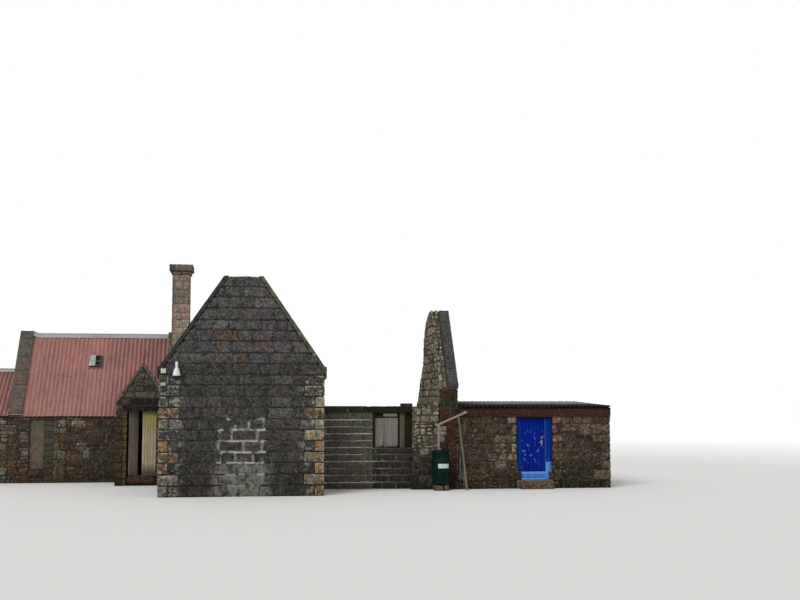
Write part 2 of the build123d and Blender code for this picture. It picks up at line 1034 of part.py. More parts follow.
def leaning_pole():
    """Timber pole with its foot on the ground and its head against the wall."""
    run = math.hypot(pole_lean_x, pole_lean_y)
    length = math.hypot(run, pole_height)
    tilt = math.atan2(pole_lean_y, pole_height)
    head_y = main_front - pole_radius * math.cos(tilt) - seat_gap
    head = (end_east, head_y, pole_height)
    foot = (end_east + pole_lean_x, head_y - pole_lean_y, 0)
    direction = Vector(*head) - Vector(*foot)
    plane = Plane(origin=Vector(*foot) - direction.normalized() * pole_radius, z_dir=direction)
    pole = plane * Cylinder(
        pole_radius, length + pole_radius, align=(Align.CENTER, Align.CENTER, Align.MIN)
    )
    reach = 2 * pole_lean_y
    ground = slab(
        foot[0] - reach, foot[0] + reach, foot[1] - reach, main_front, 0, pole_height + reach
    )
    return pole & ground


def upright_pipe():
    x = end_east + grey_radius
    y = main_front - grey_radius - seat_gap
    height = grey_height - grey_foot
    return Pos(x, y, grey_foot + height / 2) * Cylinder(grey_radius, height)


def dome_camera():
    """White neck and bell housing on an arm from the wall, with a dark dome below."""
    shoulder = camera_top - camera_neck_height
    low = shoulder - camera_bell_height
    points = [
        (0, camera_top),
        (camera_neck, camera_top),
        (camera_neck, shoulder),
        (camera_shoulder, shoulder),
        (camera_bell, low),
        (camera_dome, low),
    ]
    for angle in (math.pi / 6, math.pi / 3):
        points.append((camera_dome * math.cos(angle), low - camera_drop * math.sin(angle)))
    points.append((0, low - camera_drop))
    housing = revolve(Plane.XZ * make_face(Polyline(*points, close=True)), axis=Axis.Z)
    under = camera_top - 2 * camera_neck
    arm = slab(-camera_neck, camera_neck, 0, camera_bracket, under, camera_top)
    place = Pos(wing_west + camera_place_x, wing_front - camera_bracket, 0)
    return place * (housing + arm)


def wall_boxes():
    x = wing_west + box_place_x
    half = box_width / 2
    front = wing_front - box_depth
    high = slab(x - half, x + half, front, wing_front, box_high, box_high + box_high_height)
    low = slab(x - half, x + half, front, wing_front, box_low, box_low + box_low_height)
    return Compound(children=[high, low])


def window_boards():
    """Pale board left in the window, and an upright timber beside it."""
    front = block_front + board_inset
    west = window_west + board_inset
    low = window_sill
    board = slab(west, west + board_width, front, front + board_thick, low, low + board_height)
    post_west = west + board_width + post_gap
    post = slab(
        post_west, post_west + post_width, front, front + post_thick, window_sill, window_head
    )
    return Compound(children=[board, post])


def wall_head_slab():
    east = stub_west
    front = block_front
    west = east - slab_length
    top = block_head + slab_height
    return slab(west, east, front, front + block_wall, block_head, top)


def main_rear_wall():
    """What stands of the old rear wall, low, with the gap of its doorway."""
    front = main_rear - wall
    gap = wing_east + ruin_gap_place
    west = slab(wing_east, gap, front, main_rear, 0, ruin_head)
    east = slab(gap + ruin_gap, end_west, front, main_rear, 0, ruin_head)
    return Compound(children=[west, east])


os.makedirs("parts", exist_ok=True)
write(wing_front_gable(), "wing_front_gable")
write(wing_skews(), "wing_skews")
write(wing_west_wall(), "wing_west_wall")
write(wing_east_wall(), "wing_east_wall")
write(wing_rear_piers(), "wing_rear_piers")
write(wing_rear_gable(), "wing_rear_gable")
write(main_end_gable(), "main_end_gable")
write(main_end_skew(), "main_end_skew")
write(front_wall_stub(), "front_wall_stub")
write(main_rear_wall(), "main_rear_wall")
write(block_infill(), "block_wall")
write(window_apron(), "window_apron")
write(window_lintel(), "window_lintel")
write(window_boards(), "window_boards")
write(wall_head_slab(), "wall_head_slab")
write(left_front_wall(), "left_front_wall")
write(left_rear_wall(), "left_rear_wall")
write(blocked_panels(), "blocked_panels")
write(stone_lintels(), "stone_lintels")
write(dividing_gable(), "dividing_gable")
write(dividing_skews(), "dividing_skews")
write(shared_gable(), "shared_gable")
write(chimney_stack(), "chimney_stack")
write(chimney_cap(), "chimney_cap")
write(low_side_walls(), "low_side_walls")
write(low_end_gable(), "low_end_gable")
write(left_roof_front(), "left_roof_front")
write(left_roof_rear(), "left_roof_rear")
write(low_roof(), "low_roof")
write(rooflight(), "rooflight")
write(rooflight_pane_left(), "rooflight_pane")
write(ridge_flashings(), "ridge_flashings")
write(roof_purlins(), "roof_purlins")
write(porch_piers(), "porch_piers")
write(porch_gable(), "porch_gable")
write(porch_skews(), "porch_skews")
write(porch_side_wall(), "porch_side_wall")
write(porch_roof(), "porch_roof")
write(porch_ledger(), "porch_ledger")
write(porch_threshold(), "porch_threshold")
write(porch_door_left(), "porch_door_left")
write(porch_door_right(), "porch_door_right")
write(hinge_pins(), "hinge_pins")
write(left_floor(), "left_floor")
write(store_front_wall(), "store_front_wall")
write(store_end_wall(), "store_end_wall")
write(store_rear_wall(), "store_rear_wall")
write(store_roof(), "store_roof")
write(store_fascia(), "store_fascia")
write(store_floor_slab(), "store_floor")
write(store_frame(), "store_frame")
write(store_door(), "store_door")
write(store_step(), "store_step")
write(downpipe(), "downpipe")
write(water_butt(), "water_butt")
write(leaning_pole(), "leaning_pole")
write(upright_pipe(), "upright_pipe")
write(dome_camera(), "dome_camera")
write(wall_boxes(), "wall_boxes")
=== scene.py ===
import math
import random

import bmesh
import bpy
import numpy as np
from mathutils import Matrix, Vector, noise


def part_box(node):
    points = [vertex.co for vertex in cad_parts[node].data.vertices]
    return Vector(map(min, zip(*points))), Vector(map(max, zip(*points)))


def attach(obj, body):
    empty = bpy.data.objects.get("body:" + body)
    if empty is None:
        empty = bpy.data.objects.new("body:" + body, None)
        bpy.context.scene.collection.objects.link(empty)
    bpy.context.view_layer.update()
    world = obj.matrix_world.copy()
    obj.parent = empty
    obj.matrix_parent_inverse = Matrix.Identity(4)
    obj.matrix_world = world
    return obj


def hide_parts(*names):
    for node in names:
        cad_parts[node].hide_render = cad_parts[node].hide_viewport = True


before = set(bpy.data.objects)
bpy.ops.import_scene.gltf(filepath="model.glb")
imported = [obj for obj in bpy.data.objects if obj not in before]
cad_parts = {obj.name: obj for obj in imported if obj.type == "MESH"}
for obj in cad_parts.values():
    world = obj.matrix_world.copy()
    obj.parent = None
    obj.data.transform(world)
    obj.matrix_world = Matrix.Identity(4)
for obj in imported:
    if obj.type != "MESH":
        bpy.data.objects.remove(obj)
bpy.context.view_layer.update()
scene = bpy.context.scene


# Camera
# It stands on the forecourt in front of the wing, at standing height on rising ground, and looks
# a little up and to the right.
camera_data = bpy.data.cameras.new("view")
camera_data.sensor_width = 36
camera_data.lens = 51.62
camera_data.clip_end = 500
camera = bpy.data.objects.new("view", camera_data)
camera.location = (-0.0945, -34.955, 2.71)
camera.rotation_euler = (math.radians(95.22), 0, math.radians(-7.945))
scene.collection.objects.link(camera)
scene.camera = camera


# Floor and light
# A pale floor that fades to white some way out, under an even overcast sky and one broad soft
# lamp high on the left.
scene.view_settings.view_transform = "Standard"
white = (1, 1, 1)
floor_half = 150
floor_pale = (0.72, 0.715, 0.70)
fade_from, fade_to = 26, 60
sky_light = 0.62
sun_strength = 1.75
sun_turn = (math.radians(48), math.radians(-14), math.radians(-24))
sun_spread = math.radians(30)


class Nodes:
    """A tree of shader nodes, added with short calls."""

    def __init__(self, tree):
        self.tree = tree

    def feed(self, socket, value):
        if isinstance(value, bpy.types.NodeSocket):
            self.tree.links.new(value, socket)
        else:
            socket.default_value = (*value, 1) if socket.type == "RGBA" else value

    def node(self, kind, inputs, **settings):
        made = self.tree.nodes.new("ShaderNode" + kind)
        for setting, value in settings.items():
            setattr(made, setting, value)
        for socket, value in inputs.items():
            self.feed(made.inputs[socket], value)
        return made

    def spot(self):
        return self.node("TexCoord", {}).outputs["Object"]

    def xyz(self):
        return self.node("SeparateXYZ", {0: self.spot()}).outputs

    def facing_up(self):
        normal = self.node("NewGeometry", {}).outputs["Normal"]
        return self.node("SeparateXYZ", {0: normal}).outputs[2]

    def noise(self, scale, detail=5, rough=0.6, stretch=(1, 1, 1), warp=0):
        spot = self.node("Mapping", {"Vector": self.spot(), "Scale": stretch}).outputs[0]
        return self.node("TexNoise", {"Vector": spot, "Scale": scale, "Detail": detail,
                                      "Roughness": rough, "Distortion": warp}).outputs[0]

    def remap(self, value, low, high, to_low=0.0, to_high=1.0):
        return self.node("MapRange", {"Value": value, "From Min": low, "From Max": high,
                                      "To Min": to_low, "To Max": to_high}, clamp=True).outputs[0]

    def between(self, value, low, high):
        """A noise carried to between two values."""
        return self.remap(value, 0.3, 0.7, low, high)

    def maths(self, operation, first, second=0.0):
        return self.node("Math", {0: first, 1: second}, operation=operation).outputs[0]

    def plus(self, first, second):
        return self.maths("ADD", first, second)

    def times(self, first, second):
        return self.maths("MULTIPLY", first, second)

    def mix(self, share, first, second, blend="MIX"):
        inputs = {0: share, 6: first, 7: second}
        return self.node("Mix", inputs, data_type="RGBA", blend_type=blend).outputs[2]

    def shade(self, colour, factor):
        """The colour made lighter or darker by a factor."""
        grey = self.node("CombineColor", {0: factor, 1: factor, 2: factor}).outputs[0]
        return self.mix(1.0, colour, grey, "MULTIPLY")

    def mottle(self, colour, value, low, high):
        """The colour made lighter and darker by a noise."""
        return self.shade(colour, self.between(value, low, high))


class Finish(Nodes):
    """One material. Its pieces carry their own colours, and how far a point lies from an edge."""

    def __init__(self, name, roughness=0.9, gloss=0.06):
        self.material = bpy.data.materials.new(name)
        self.material.use_nodes = True
        super().__init__(self.material.node_tree)
        self.shader = self.tree.nodes["Principled BSDF"]
        self.set(Roughness=roughness)
        self.feed(self.shader.inputs["Specular IOR Level"], gloss)

    def set(self, **values):
        for socket, value in values.items():
            self.feed(self.shader.inputs[socket], value)

    def own(self):
        return self.node("Attribute", {}, attribute_name="stone_colour").outputs["Color"]

    def middle(self):
        return self.node("Attribute", {}, attribute_name="stone_middle").outputs["Fac"]

    def done(self, colour, bump, distance=0.01, strength=1.0, rough=None):
        self.feed(self.shader.inputs["Base Color"], colour)
        inputs = {"Height": bump, "Distance": distance, "Strength": strength}
        self.set(Normal=self.node("Bump", inputs).outputs[0])
        if rough is not None:
            self.set(Roughness=rough)
        return self.material


def floor_finish():
    finish = Finish("pale_floor", 0.95)
    finish.feed(finish.shader.inputs["Base Color"], floor_pale)
    away = finish.node("VectorMath", {0: finish.spot()}, operation="LENGTH").outputs["Value"]
    ray = finish.node("LightPath", {}).outputs["Is Camera Ray"]
    share = finish.times(finish.remap(away, fade_from, fade_to), ray)
    glow = finish.node("Emission", {"Color": white, "Strength": 1.0}).outputs[0]
    mixed = finish.node("MixShader", {0: share, 1: finish.shader.outputs[0], 2: glow}).outputs[0]
    finish.feed(finish.tree.nodes["Material Output"].inputs["Surface"], mixed)
    return finish.material


floor_mesh = bpy.data.meshes.new("floor")
floor_mesh.from_pydata([(x * floor_half, y * floor_half, 0)
                        for x, y in ((-1, -1), (1, -1), (1, 1), (-1, 1))], [], [(0, 1, 2, 3)])
floor_mesh.materials.append(floor_finish())
floor = bpy.data.objects.new("floor", floor_mesh)
scene.collection.objects.link(floor)

world = bpy.data.worlds.new("sky")
world.use_nodes = True
sky = Nodes(world.node_tree)
sky.tree.nodes.clear()
rays = sky.node("LightPath", {}).outputs
white_rays = rays["Is Camera Ray"]
for kind in ("Is Glossy Ray", "Is Transmission Ray"):
    white_rays = sky.maths("MAXIMUM", white_rays, rays[kind])
lit, seen = (sky.node("Background", {"Color": white, "Strength": strength}).outputs[0]
             for strength in (sky_light, 1.0))
sky.node("OutputWorld", {0: sky.node("MixShader", {0: white_rays, 1: lit, 2: seen}).outputs[0]})
scene.world = world

sun_data = bpy.data.lights.new("sun", "SUN")
sun_data.energy = sun_strength
sun_data.angle = sun_spread
sun = bpy.data.objects.new("sun", sun_data)
sun.rotation_euler = sun_turn
scene.collection.objects.link(sun)


# Wing, front gable
# Squared whinstone with pecked faces, laid in even courses on lime mortar, with quoins of red and
# buff sandstone at the corners. Part of the face was pointed again in pale mortar.
FRONT, BACK, EAST, WEST, UP = (0, -1, 0), (0, 1, 0), (1, 0, 0), (-1, 0, 0), (0, 0, 1)
far = 99.0
course, course_spread = 0.335, 0.05
stone_length = 0.56
joint, joint_depth = 0.024, 0.032
worn = 0.016
rubble_step = 0.075
whin_grey = (0.0496, 0.0482, 0.0464)
whin_brown = (0.0576, 0.0514, 0.0456)
whin_pale = (0.0688, 0.0656, 0.0616)
whin_red = (0.0741, 0.0522, 0.0460)
sandstone_red = (0.1180, 0.0680, 0.0460)
sandstone_orange = (0.2141, 0.1246, 0.0554)
sandstone_buff = (0.2200, 0.1780, 0.1120)
sandstone_grey = (0.1494, 0.1227, 0.0841)
quoin_long, quoin_short = 0.62, 0.30
squared = {"uneven": 0.022, "close": 0.014}


class Side:
    """A face of a wall: a corner to measure from and the way it looks. It runs to the right as
    seen from outside, and the top of a wall runs east."""

    def __init__(self, x, y, looking, z=0):
        self.corner, self.out = Vector((x, y, z)), Vector(looking)
        self.run, self.up = Vector((-looking[1], looking[0], 0)), Vector(UP)
        if looking == UP:
            self.run, self.up = Vector(EAST), Vector(BACK)

    def at(self, along, high, proud=0.0):
        return self.corner + self.run * along + self.up * high + self.out * proud


def pairs(row):
    return list(zip(row, row[1:]))


def mean(points):
    return sum(points, Vector((0, 0))) / len(points)


def bands(size, levels, start=0):
    """Faces between rings of points that follow each other."""
    return [(start + level * size + number, start + level * size + (number + 1) % size,
             start + (level + 1) * size + (number + 1) % size, start + (level + 1) * size + number)
            for level in range(levels) for number in range(size)]


def shrink(outline, amount):
    """A convex outline moved inwards by an amount on every side, or None where nothing is left."""
    lines = []
    for number, first in enumerate(outline):
        along = (outline[(number + 1) % len(outline)] - first).normalized()
        lines.append((first + Vector((-along.y, along.x)) * amount, along))
    moved = []
    for number, (other, other_way) in enumerate(lines):
        point, way = lines[number - 1]
        cross = way.x * other_way.y - way.y * other_way.x
        if abs(cross) < 1e-4:
            moved.append(other)
            continue
        gap = other - point
        moved.append(point + way * ((gap.x * other_way.y - gap.y * other_way.x) / cross))
    for number, (_, along) in enumerate(lines):
        if (moved[(number + 1) % len(moved)] - moved[number]).dot(along) <= 0.004:
            return None
    return moved


def clip(outline, border):
    """The part of a convex outline that lies inside a convex border, both turning left."""
    for first, second in zip(border, border[1:] + border[:1]):
        along = second - first
        kept = []
        for index, point in enumerate(outline):
            before = outline[index - 1]
            here = along.x * (point.y - first.y) - along.y * (point.x - first.x)
            there = along.x * (before.y - first.y) - along.y * (before.x - first.x)
            if (here >= 0) != (there >= 0):
                kept.append(before + (point - before) * (there / (there - here)))
            if here >= 0:
                kept.append(point)
        outline = kept
        if len(outline) < 3:
            return []
    tidy = [point for index, point in enumerate(outline)
            if (point - outline[index - 1]).length > 0.004]
    return tidy if len(tidy) > 2 else []


def ring_of(outline, cut, step):
    """Points round an outline with its corners cut off, no further apart than the step."""
    corners = []
    for number, point in enumerate(outline):
        before = outline[number - 1] - point
        after = outline[(number + 1) % len(outline)] - point
        size = min(cut, before.length * 0.3, after.length * 0.3)
        corners += [point + before.normalized() * size, point + after.normalized() * size]
    ring = []
    for point, after in zip(corners, corners[1:] + corners[:1]):
        pieces = max(1, math.ceil((after - point).length / step))
        ring += [point.lerp(after, share / pieces) for share in range(pieces)]
    return ring


def flat_form(node):
    """A node's solid with whole flat faces."""
    form = bmesh.new()
    form.from_mesh(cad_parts[node].data)
    bmesh.ops.remove_doubles(form, verts=form.verts, dist=1e-4)
    bmesh.ops.dissolve_limit(form, angle_limit=0.01, verts=form.verts, edges=form.edges)
    return form


def corners_of(node, looking):
    """The corners of the outermost flat face of a node that looks a given way."""
    form = flat_form(node)
    looking = Vector(looking)
    face = max((face for face in form.faces if face.normal.dot(looking) > 0.99),
               key=lambda one: one.calc_center_median().dot(looking))
    corners = [vertex.co.copy() for vertex in face.verts]
    form.free()
    return corners


def on_side(side, corners):
    """Corners in space as an outline on a side, turning left."""
    flat = [Vector(((point - side.corner).dot(side.run), (point - side.corner).dot(side.up)))
            for point in corners]
    area = sum(flat[i - 1].x * flat[i].y - flat[i - 1].y * flat[i].x for i in range(len(flat)))
    return flat if area > 0 else flat[::-1]


def outline_of(side, node):
    return on_side(side, corners_of(node, side.out))


class Work:
    """Stones, mortar and other parts gathered into one mesh, each with its own colour."""

    def __init__(self):
        self.points, self.faces, self.colours, self.middles, self.slots = [], [], [], [], []

    def add(self, points, faces, colour, middles, slot=0, flip=False):
        start = len(self.points)
        if flip:
            faces = [tuple(reversed(face)) for face in faces]
        self.points += points
        self.faces += [tuple(start + corner for corner in face) for face in faces]
        self.colours += [(*colour, 1.0)] * len(points)
        self.middles += middles
        self.slots += [slot] * len(faces)

    def core(self, node, depth):
        """The mortar body of a wall behind its stones: the node's solid with each face moved
        inwards. The depth is asked for each flat face by its normal and its middle."""
        form = flat_form(node)
        moved = []
        for vertex in form.verts:
            rows, wanted = [], []
            for face in vertex.link_faces:
                if all((face.normal - row).length > 0.02 for row in rows):
                    rows.append(face.normal.copy())
                    wanted.append(-depth(face.normal, face.calc_center_median()))
            move = np.linalg.lstsq(np.array(rows), np.array(wanted), rcond=None)[0]
            moved.append(vertex.co + Vector(move))
        form.verts.index_update()
        faces = [tuple(vertex.index for vertex in face.verts) for face in form.faces]
        form.free()
        self.add(moved, faces, (0.1, 0.1, 0.1), [0.0] * len(moved), 1)

    def stone(self, side, outline, colour, rough=0.012, cut=0.02, step=rubble_step, back=0.0,
              gap=joint, slot=0, close=0.0, wavy=0.012):
        """A stone of a wall face: a worn arris, a dressed face and edges that run into the
        mortar. Its sides stand closer to its neighbours' by an amount than its bed and top."""
        shape = shrink(outline, gap / 2)
        if shape is None:
            return
        if close:
            left, right = min(point.x for point in shape), max(point.x for point in shape)
            grow, middle = 1 + close / (right - left), (left + right) / 2
            shape = [Vector(((point.x - middle) * grow + middle, point.y)) for point in shape]
        ring = ring_of(shape, cut, step)
        centre = mean(ring)
        spread = min((point - centre).length for point in ring)
        if spread < 0.02:
            return
        inner = min(0.35, worn / spread)
        profile = ((1.0, -joint_depth - 0.01, 0.0, 0.0), (1.0, -worn * 1.1, 0.3, 0.0),
                   (1.0 - inner, -worn * 0.25, 0.7, 0.35), (0.55, 0.0, 1.0, 0.8))
        points, middles = [], []
        for share, proud, bumpy, middle in profile:
            for point in ring:
                spot = centre + (point - centre) * share
                world_spot = side.at(spot.x, spot.y)
                wobble = noise.noise(world_spot * 9.0)
                pecked = noise.noise(world_spot * 23.0 + Vector((7.1, 3.3, 1.7)))
                along = spot.x + 0.5 * worn * noise.noise(world_spot * 17.0 + Vector((0, 5, 9)))
                high = spot.y + 0.5 * worn * noise.noise(world_spot * 17.0 + Vector((4, 0, 2)))
                high += wavy * noise.noise(world_spot * 3.7 + Vector((2, 8, 5)))
                lift = proud - back - bumpy * rough * (0.75 + 0.9 * wobble + 0.9 * pecked)
                points.append(side.at(along, high, min(lift, 0.0)))
                middles.append(middle)
        size, top = len(ring), (len(profile) - 1) * len(ring)
        lift = -back - rough * (0.75 + 0.9 * noise.noise(side.at(centre.x, centre.y) * 9.0))
        points.append(side.at(centre.x, centre.y, min(lift, 0.0)))
        faces = bands(size, len(profile) - 1)
        faces += [(top + number, top + (number + 1) % size, top + size) for number in range(size)]
        self.add(points, faces, colour, middles + [1.0], slot,
                 flip=side.run.cross(side.up).dot(side.out) < 0)

    def block(self, low, high, colour, rough=0.01, edge=0.02, step=0.11, slot=0, matrix=None):
        """A whole block between two corners, its arrises worn round, dressed on all sides."""
        low, high = Vector(low), Vector(high)
        matrix = matrix or Matrix.Identity(4)
        size = high - low
        edge = min(edge, min(size) * 0.4)
        lines = []
        for long in size:
            count = max(1, round((long - 2 * edge) / step))
            middle = [edge + (long - 2 * edge) * number / count for number in range(count + 1)]
            lines.append([0.0] + middle + [long])
        index, points, middles = {}, [], []

        def corner(key):
            if key not in index:
                spot = Vector([line[part] for line, part in zip(lines, key)])
                inner = Vector([min(max(spot[axis], edge), size[axis] - edge) for axis in range(3)])
                out = (spot - inner).normalized() if (spot - inner).length > 0 else Vector()
                place = low + inner + out * edge
                at = matrix @ place
                dent = 0.6 + 0.8 * noise.noise(at * 8.0) + 0.7 * noise.noise(at * 21.0)
                index[key] = len(points)
                points.append(matrix @ (place - out * rough * max(0.0, dent)))
                inside = sorted(min(spot[axis], size[axis] - spot[axis]) for axis in range(3))
                middles.append(min(1.0, inside[1] / (3 * edge)))
            return index[key]

        faces = []
        for axis in range(3):
            first, second = (axis + 1) % 3, (axis + 2) % 3
            for end in (0, len(lines[axis]) - 1):
                for i in range(len(lines[first]) - 1):
                    for j in range(len(lines[second]) - 1):
                        face = []
                        for a, b in ((i, j), (i + 1, j), (i + 1, j + 1), (i, j + 1)):
                            key = [0, 0, 0]
                            key[axis], key[first], key[second] = end, a, b
                            face.append(corner(tuple(key)))
                        faces.append(tuple(face) if end else tuple(reversed(face)))
        self.add(points, faces, colour, middles, slot)

    def done(self, name, materials, slot, *nodes, body="building", sharp=38):
        """The finished piece, which stands for nodes and rides on a body. Its slot is not used."""
        mesh = bpy.data.meshes.new(name)
        mesh.from_pydata([(x, y, max(z, 0.0)) for x, y, z in self.points], [], self.faces)
        colour = mesh.attributes.new("stone_colour", "FLOAT_COLOR", "POINT")
        colour.data.foreach_set("color", np.array(self.colours, np.float32).ravel())
        middle = mesh.attributes.new("stone_middle", "FLOAT", "POINT")
        middle.data.foreach_set("value", np.array(self.middles, np.float32))
        mesh.polygons.foreach_set("material_index", self.slots)
        for material in materials:
            mesh.materials.append(material)
        mesh.shade_smooth()
        mesh.set_sharp_from_angle(angle=math.radians(sharp))
        mesh.update()
        piece = bpy.data.objects.new(name, mesh)
        scene.collection.objects.link(piece)
        if nodes:
            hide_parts(*nodes)
        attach(piece, body)


def vary(rng, colour, amount=0.22):
    """The colour of one stone, lighter or darker than its kind and a touch warmer or colder."""
    level = 1 + rng.uniform(-amount, amount)
    warm = rng.uniform(-0.04, 0.04)
    return (colour[0] * level * (1 + warm), colour[1] * level, colour[2] * level * (1 - warm))


def by_place(amount, start, *areas):
    """Picks the colour of a stone by the first area that it lies in: its ends along the wall,
    counted from a start, its foot and head, and the kinds, each up to a share of the draws."""
    def pick(rng, x=0.0, z=0.0):
        draw = rng.random()
        for first, last, foot, head, *kinds in areas:
            if first < start + x < last and foot < z < head:
                return vary(rng, next(kind for share, kind in kinds if draw < share), amount)
    return pick


def by_draw(amount, *kinds):
    return by_place(amount, 0.0, (-far, far, -far, far, *kinds))


def course_lines(rng, low, high, height=course, spread=course_spread):
    """Heights of the bed joints from low to high, nearly even."""
    count = max(1, round((high - low) / height))
    even = (high - low) / count
    lines = [low + even * number for number in range(count + 1)]
    moved = [line + rng.uniform(-spread, spread) * even for line in lines[1:-1]]
    return [lines[0], *moved, lines[-1]]


def joints_along(rng, start, stop, length=stone_length, spread=0.42):
    """Places of the upright joints of a course."""
    places = [start]
    while stop - places[-1] > length * (1.5 + spread):
        places.append(places[-1] + length * (1 + rng.uniform(-spread, spread)))
    left = stop - places[-1]
    if left > length * 1.25:
        places.append(places[-1] + left * rng.uniform(0.42, 0.58))
    return places + [stop]


def lay_courses(work, side, border, lines, rng, pick, starts=None, length=stone_length,
                uneven=0.0, **how):
    """Courses of stones over a convex border, with room left for the quoins at the ends."""
    left, right = min(point.x for point in border), max(point.x for point in border)
    foot, head = min(point.y for point in border), max(point.y for point in border)
    for number, (low, high) in enumerate(pairs(lines)):
        if high < foot or low > head:
            continue
        taken = starts(number) if starts else (rng.uniform(-0.4, 0.0) * length, 0.0)
        places = joints_along(rng, left + taken[0], right - taken[1], length)
        lean = [0.0] + [rng.uniform(-0.02, 0.02) for _ in places[1:-1]] + [0.0]
        for (first, first_lean), (last, last_lean) in pairs(list(zip(places, lean))):
            bed = rng.uniform(0, uneven * 0.5)
            left_top, right_top = rng.uniform(0, uneven), rng.uniform(0, uneven)
            part = clip([Vector((first - first_lean, low + bed)),
                         Vector((last - last_lean, low + bed)),
                         Vector((last + last_lean, high - right_top)),
                         Vector((first + first_lean, high - left_top))], border)
            if part:
                work.stone(side, part, pick(rng, *mean(part)), back=rng.uniform(0, 0.010), **how)


def quoin_reach(number):
    """How far a quoin reaches along the front and along the side in a course."""
    return (quoin_long, quoin_short) if number % 2 else (quoin_short, quoin_long)


def lay_quoins(work, x, y, toward_x, toward_y, lines, top, rng, pick, slot=0):
    """Quoins up one corner, long one way and then the other, each through the wall's corner."""
    for number, (low, high) in enumerate(pairs(lines)):
        if high > top + 0.02:
            break
        front, flank = quoin_reach(number)
        (west, east), (near, rear) = (sorted((x, x + toward_x * (front - joint / 2))),
                                      sorted((y, y + toward_y * (flank - joint / 2))))
        work.block((west, near, low + joint / 2), (east, rear, high - joint / 2),
                   pick(rng, number), rough=0.016, edge=0.026, slot=slot)


def stone_finish(name, lichen=0.45, moss=0.3, wash=0.2, damp=0.9, contrast=0.65, bump=0.012,
                 pit=30.0, green=(0.060, 0.072, 0.022), pale=(0.26, 0.255, 0.22),
                 mortar=(0.33, 0.31, 0.27), smears=0.66, rim=0.5, patch=None, wet_from=0.3,
                 wet=0.62):
    """Stone by its own colour, mottled in spots and clouds and darkened at ragged edges as painted
    shade of the joints, with lichen, moss, smears of mortar and damp."""
    finish = Finish(name, 0.92)
    middle = finish.middle()
    broad = finish.noise(0.9, 4, 0.6)
    cloud = finish.noise(5.5, 5, 0.66, warp=0.5)
    spotty = finish.noise(15.0, 6, 0.74, warp=0.4)
    grain = finish.noise(pit, 8, 0.72)
    fleck = finish.noise(pit * 0.36, 6, 0.70, warp=0.8)
    smear = finish.noise(7.5, 5, 0.7)
    colour = finish.shade(finish.own(),
                          finish.remap(spotty, 0.34, 0.66, 1 - contrast, 1 + contrast))
    colour = finish.shade(colour, finish.remap(grain, 0.36, 0.66, 0.72, 1.3))
    colour = finish.shade(colour, finish.remap(cloud, 0.32, 0.68, 0.70, 1.30))
    tint = finish.mix(finish.remap(broad, 0.40, 0.60), (1.08, 0.97, 1.0), (0.93, 1.02, 0.92))
    colour = finish.mix(1.0, colour, tint, "MULTIPLY")
    colour = finish.mix(finish.remap(fleck, 0.585, 0.67, 0.0, lichen), colour, pale)
    growth = finish.plus(finish.noise(1.7, 5, 0.62, warp=0.3),
                         finish.times(finish.facing_up(), 0.16))
    mossy = finish.times(finish.remap(growth, 0.56, 0.74, 0.0, moss),
                         finish.remap(spotty, 0.36, 0.56))
    colour = finish.mix(mossy, colour, green)
    reached = finish.plus(smear, finish.remap(middle, 0.0, 0.55, 0.22, 0.0))
    colour = finish.mix(finish.remap(reached, smears, smears + 0.09, 0.0, wash), colour, mortar)
    if patch is not None:
        colour = patch(finish, colour)
    # Each stone darker towards its ragged edge: painted shade of the joints around it.
    edge = finish.plus(middle, finish.remap(spotty, 0.35, 0.65, -0.35, 0.35))
    colour = finish.shade(colour, finish.remap(edge, -0.1, 0.42, 1 - rim, 1.0))
    high = finish.plus(finish.xyz()[2], finish.times(smear, 0.8))
    colour = finish.shade(colour, finish.remap(high, wet_from, wet_from + damp, wet, 1.0))
    return finish.done(colour, bump=spotty, distance=bump, strength=0.9)


def mortar_finish(name, colour, darker, patch=None):
    """Old lime mortar, crumbling back between the stones, dark where it holds wet and moss."""
    finish = Finish(name, 0.95)
    grain = finish.noise(38.0, 7, 0.7)
    mixed = finish.mix(finish.remap(finish.noise(2.3, 5, 0.6), 0.42, 0.62), darker, colour)
    mixed = finish.mottle(mixed, grain, 0.65, 1.3)
    if patch is not None:
        mixed = patch(finish, mixed)
    wet = finish.remap(finish.xyz()[2], 0.2, 0.9, 0.6, 1.0)
    return finish.done(finish.shade(mixed, wet), bump=grain, distance=0.012)


wing_low, wing_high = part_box("wing_front_gable")
wing_west, wing_east, front_y, inner_front = wing_low.x, wing_high.x, wing_low.y, wing_high.y
wing_wall, wing_height = wing_high.y - wing_low.y, wing_high.z
wing_rng = random.Random(11)
wing_courses = course_lines(wing_rng, 0.0, wing_height)
wing_colour = by_draw(0.14, (0.66, whin_grey), (0.90, whin_brown), (1, whin_pale))


def on_front(finish, y):
    """Only where the piece faces the forecourt."""
    return finish.remap(y, -0.2, -0.1, 1.0, 0.0)


def pointed_share(finish):
    """Where the front gable was pointed again: a ragged upright patch low on its face, and the
    smears at its foot."""
    across, y, high = finish.xyz()
    sway = finish.between(finish.noise(2.2, 4, 0.6), -0.3, 0.3)
    away = finish.maths("ABSOLUTE", finish.plus(across, finish.plus(sway, -0.02)))
    near = finish.remap(away, 0.50, 0.62, 1.0, 0.0)
    low = finish.remap(finish.plus(high, sway), 2.25, 2.35, 1.0, 0.0)
    share = finish.times(finish.times(near, low), on_front(finish, y))
    ragged = finish.remap(finish.noise(5.5, 5, 0.68), 0.40, 0.52)
    foot = finish.remap(finish.plus(high, sway), 0.8, 1.1, 1.0, 0.0)
    wide = finish.remap(finish.maths("ABSOLUTE", across), 0.7, 1.0, 1.0, 0.0)
    smeared = finish.times(finish.times(foot, wide), on_front(finish, y))
    return finish.times(share, ragged), smeared


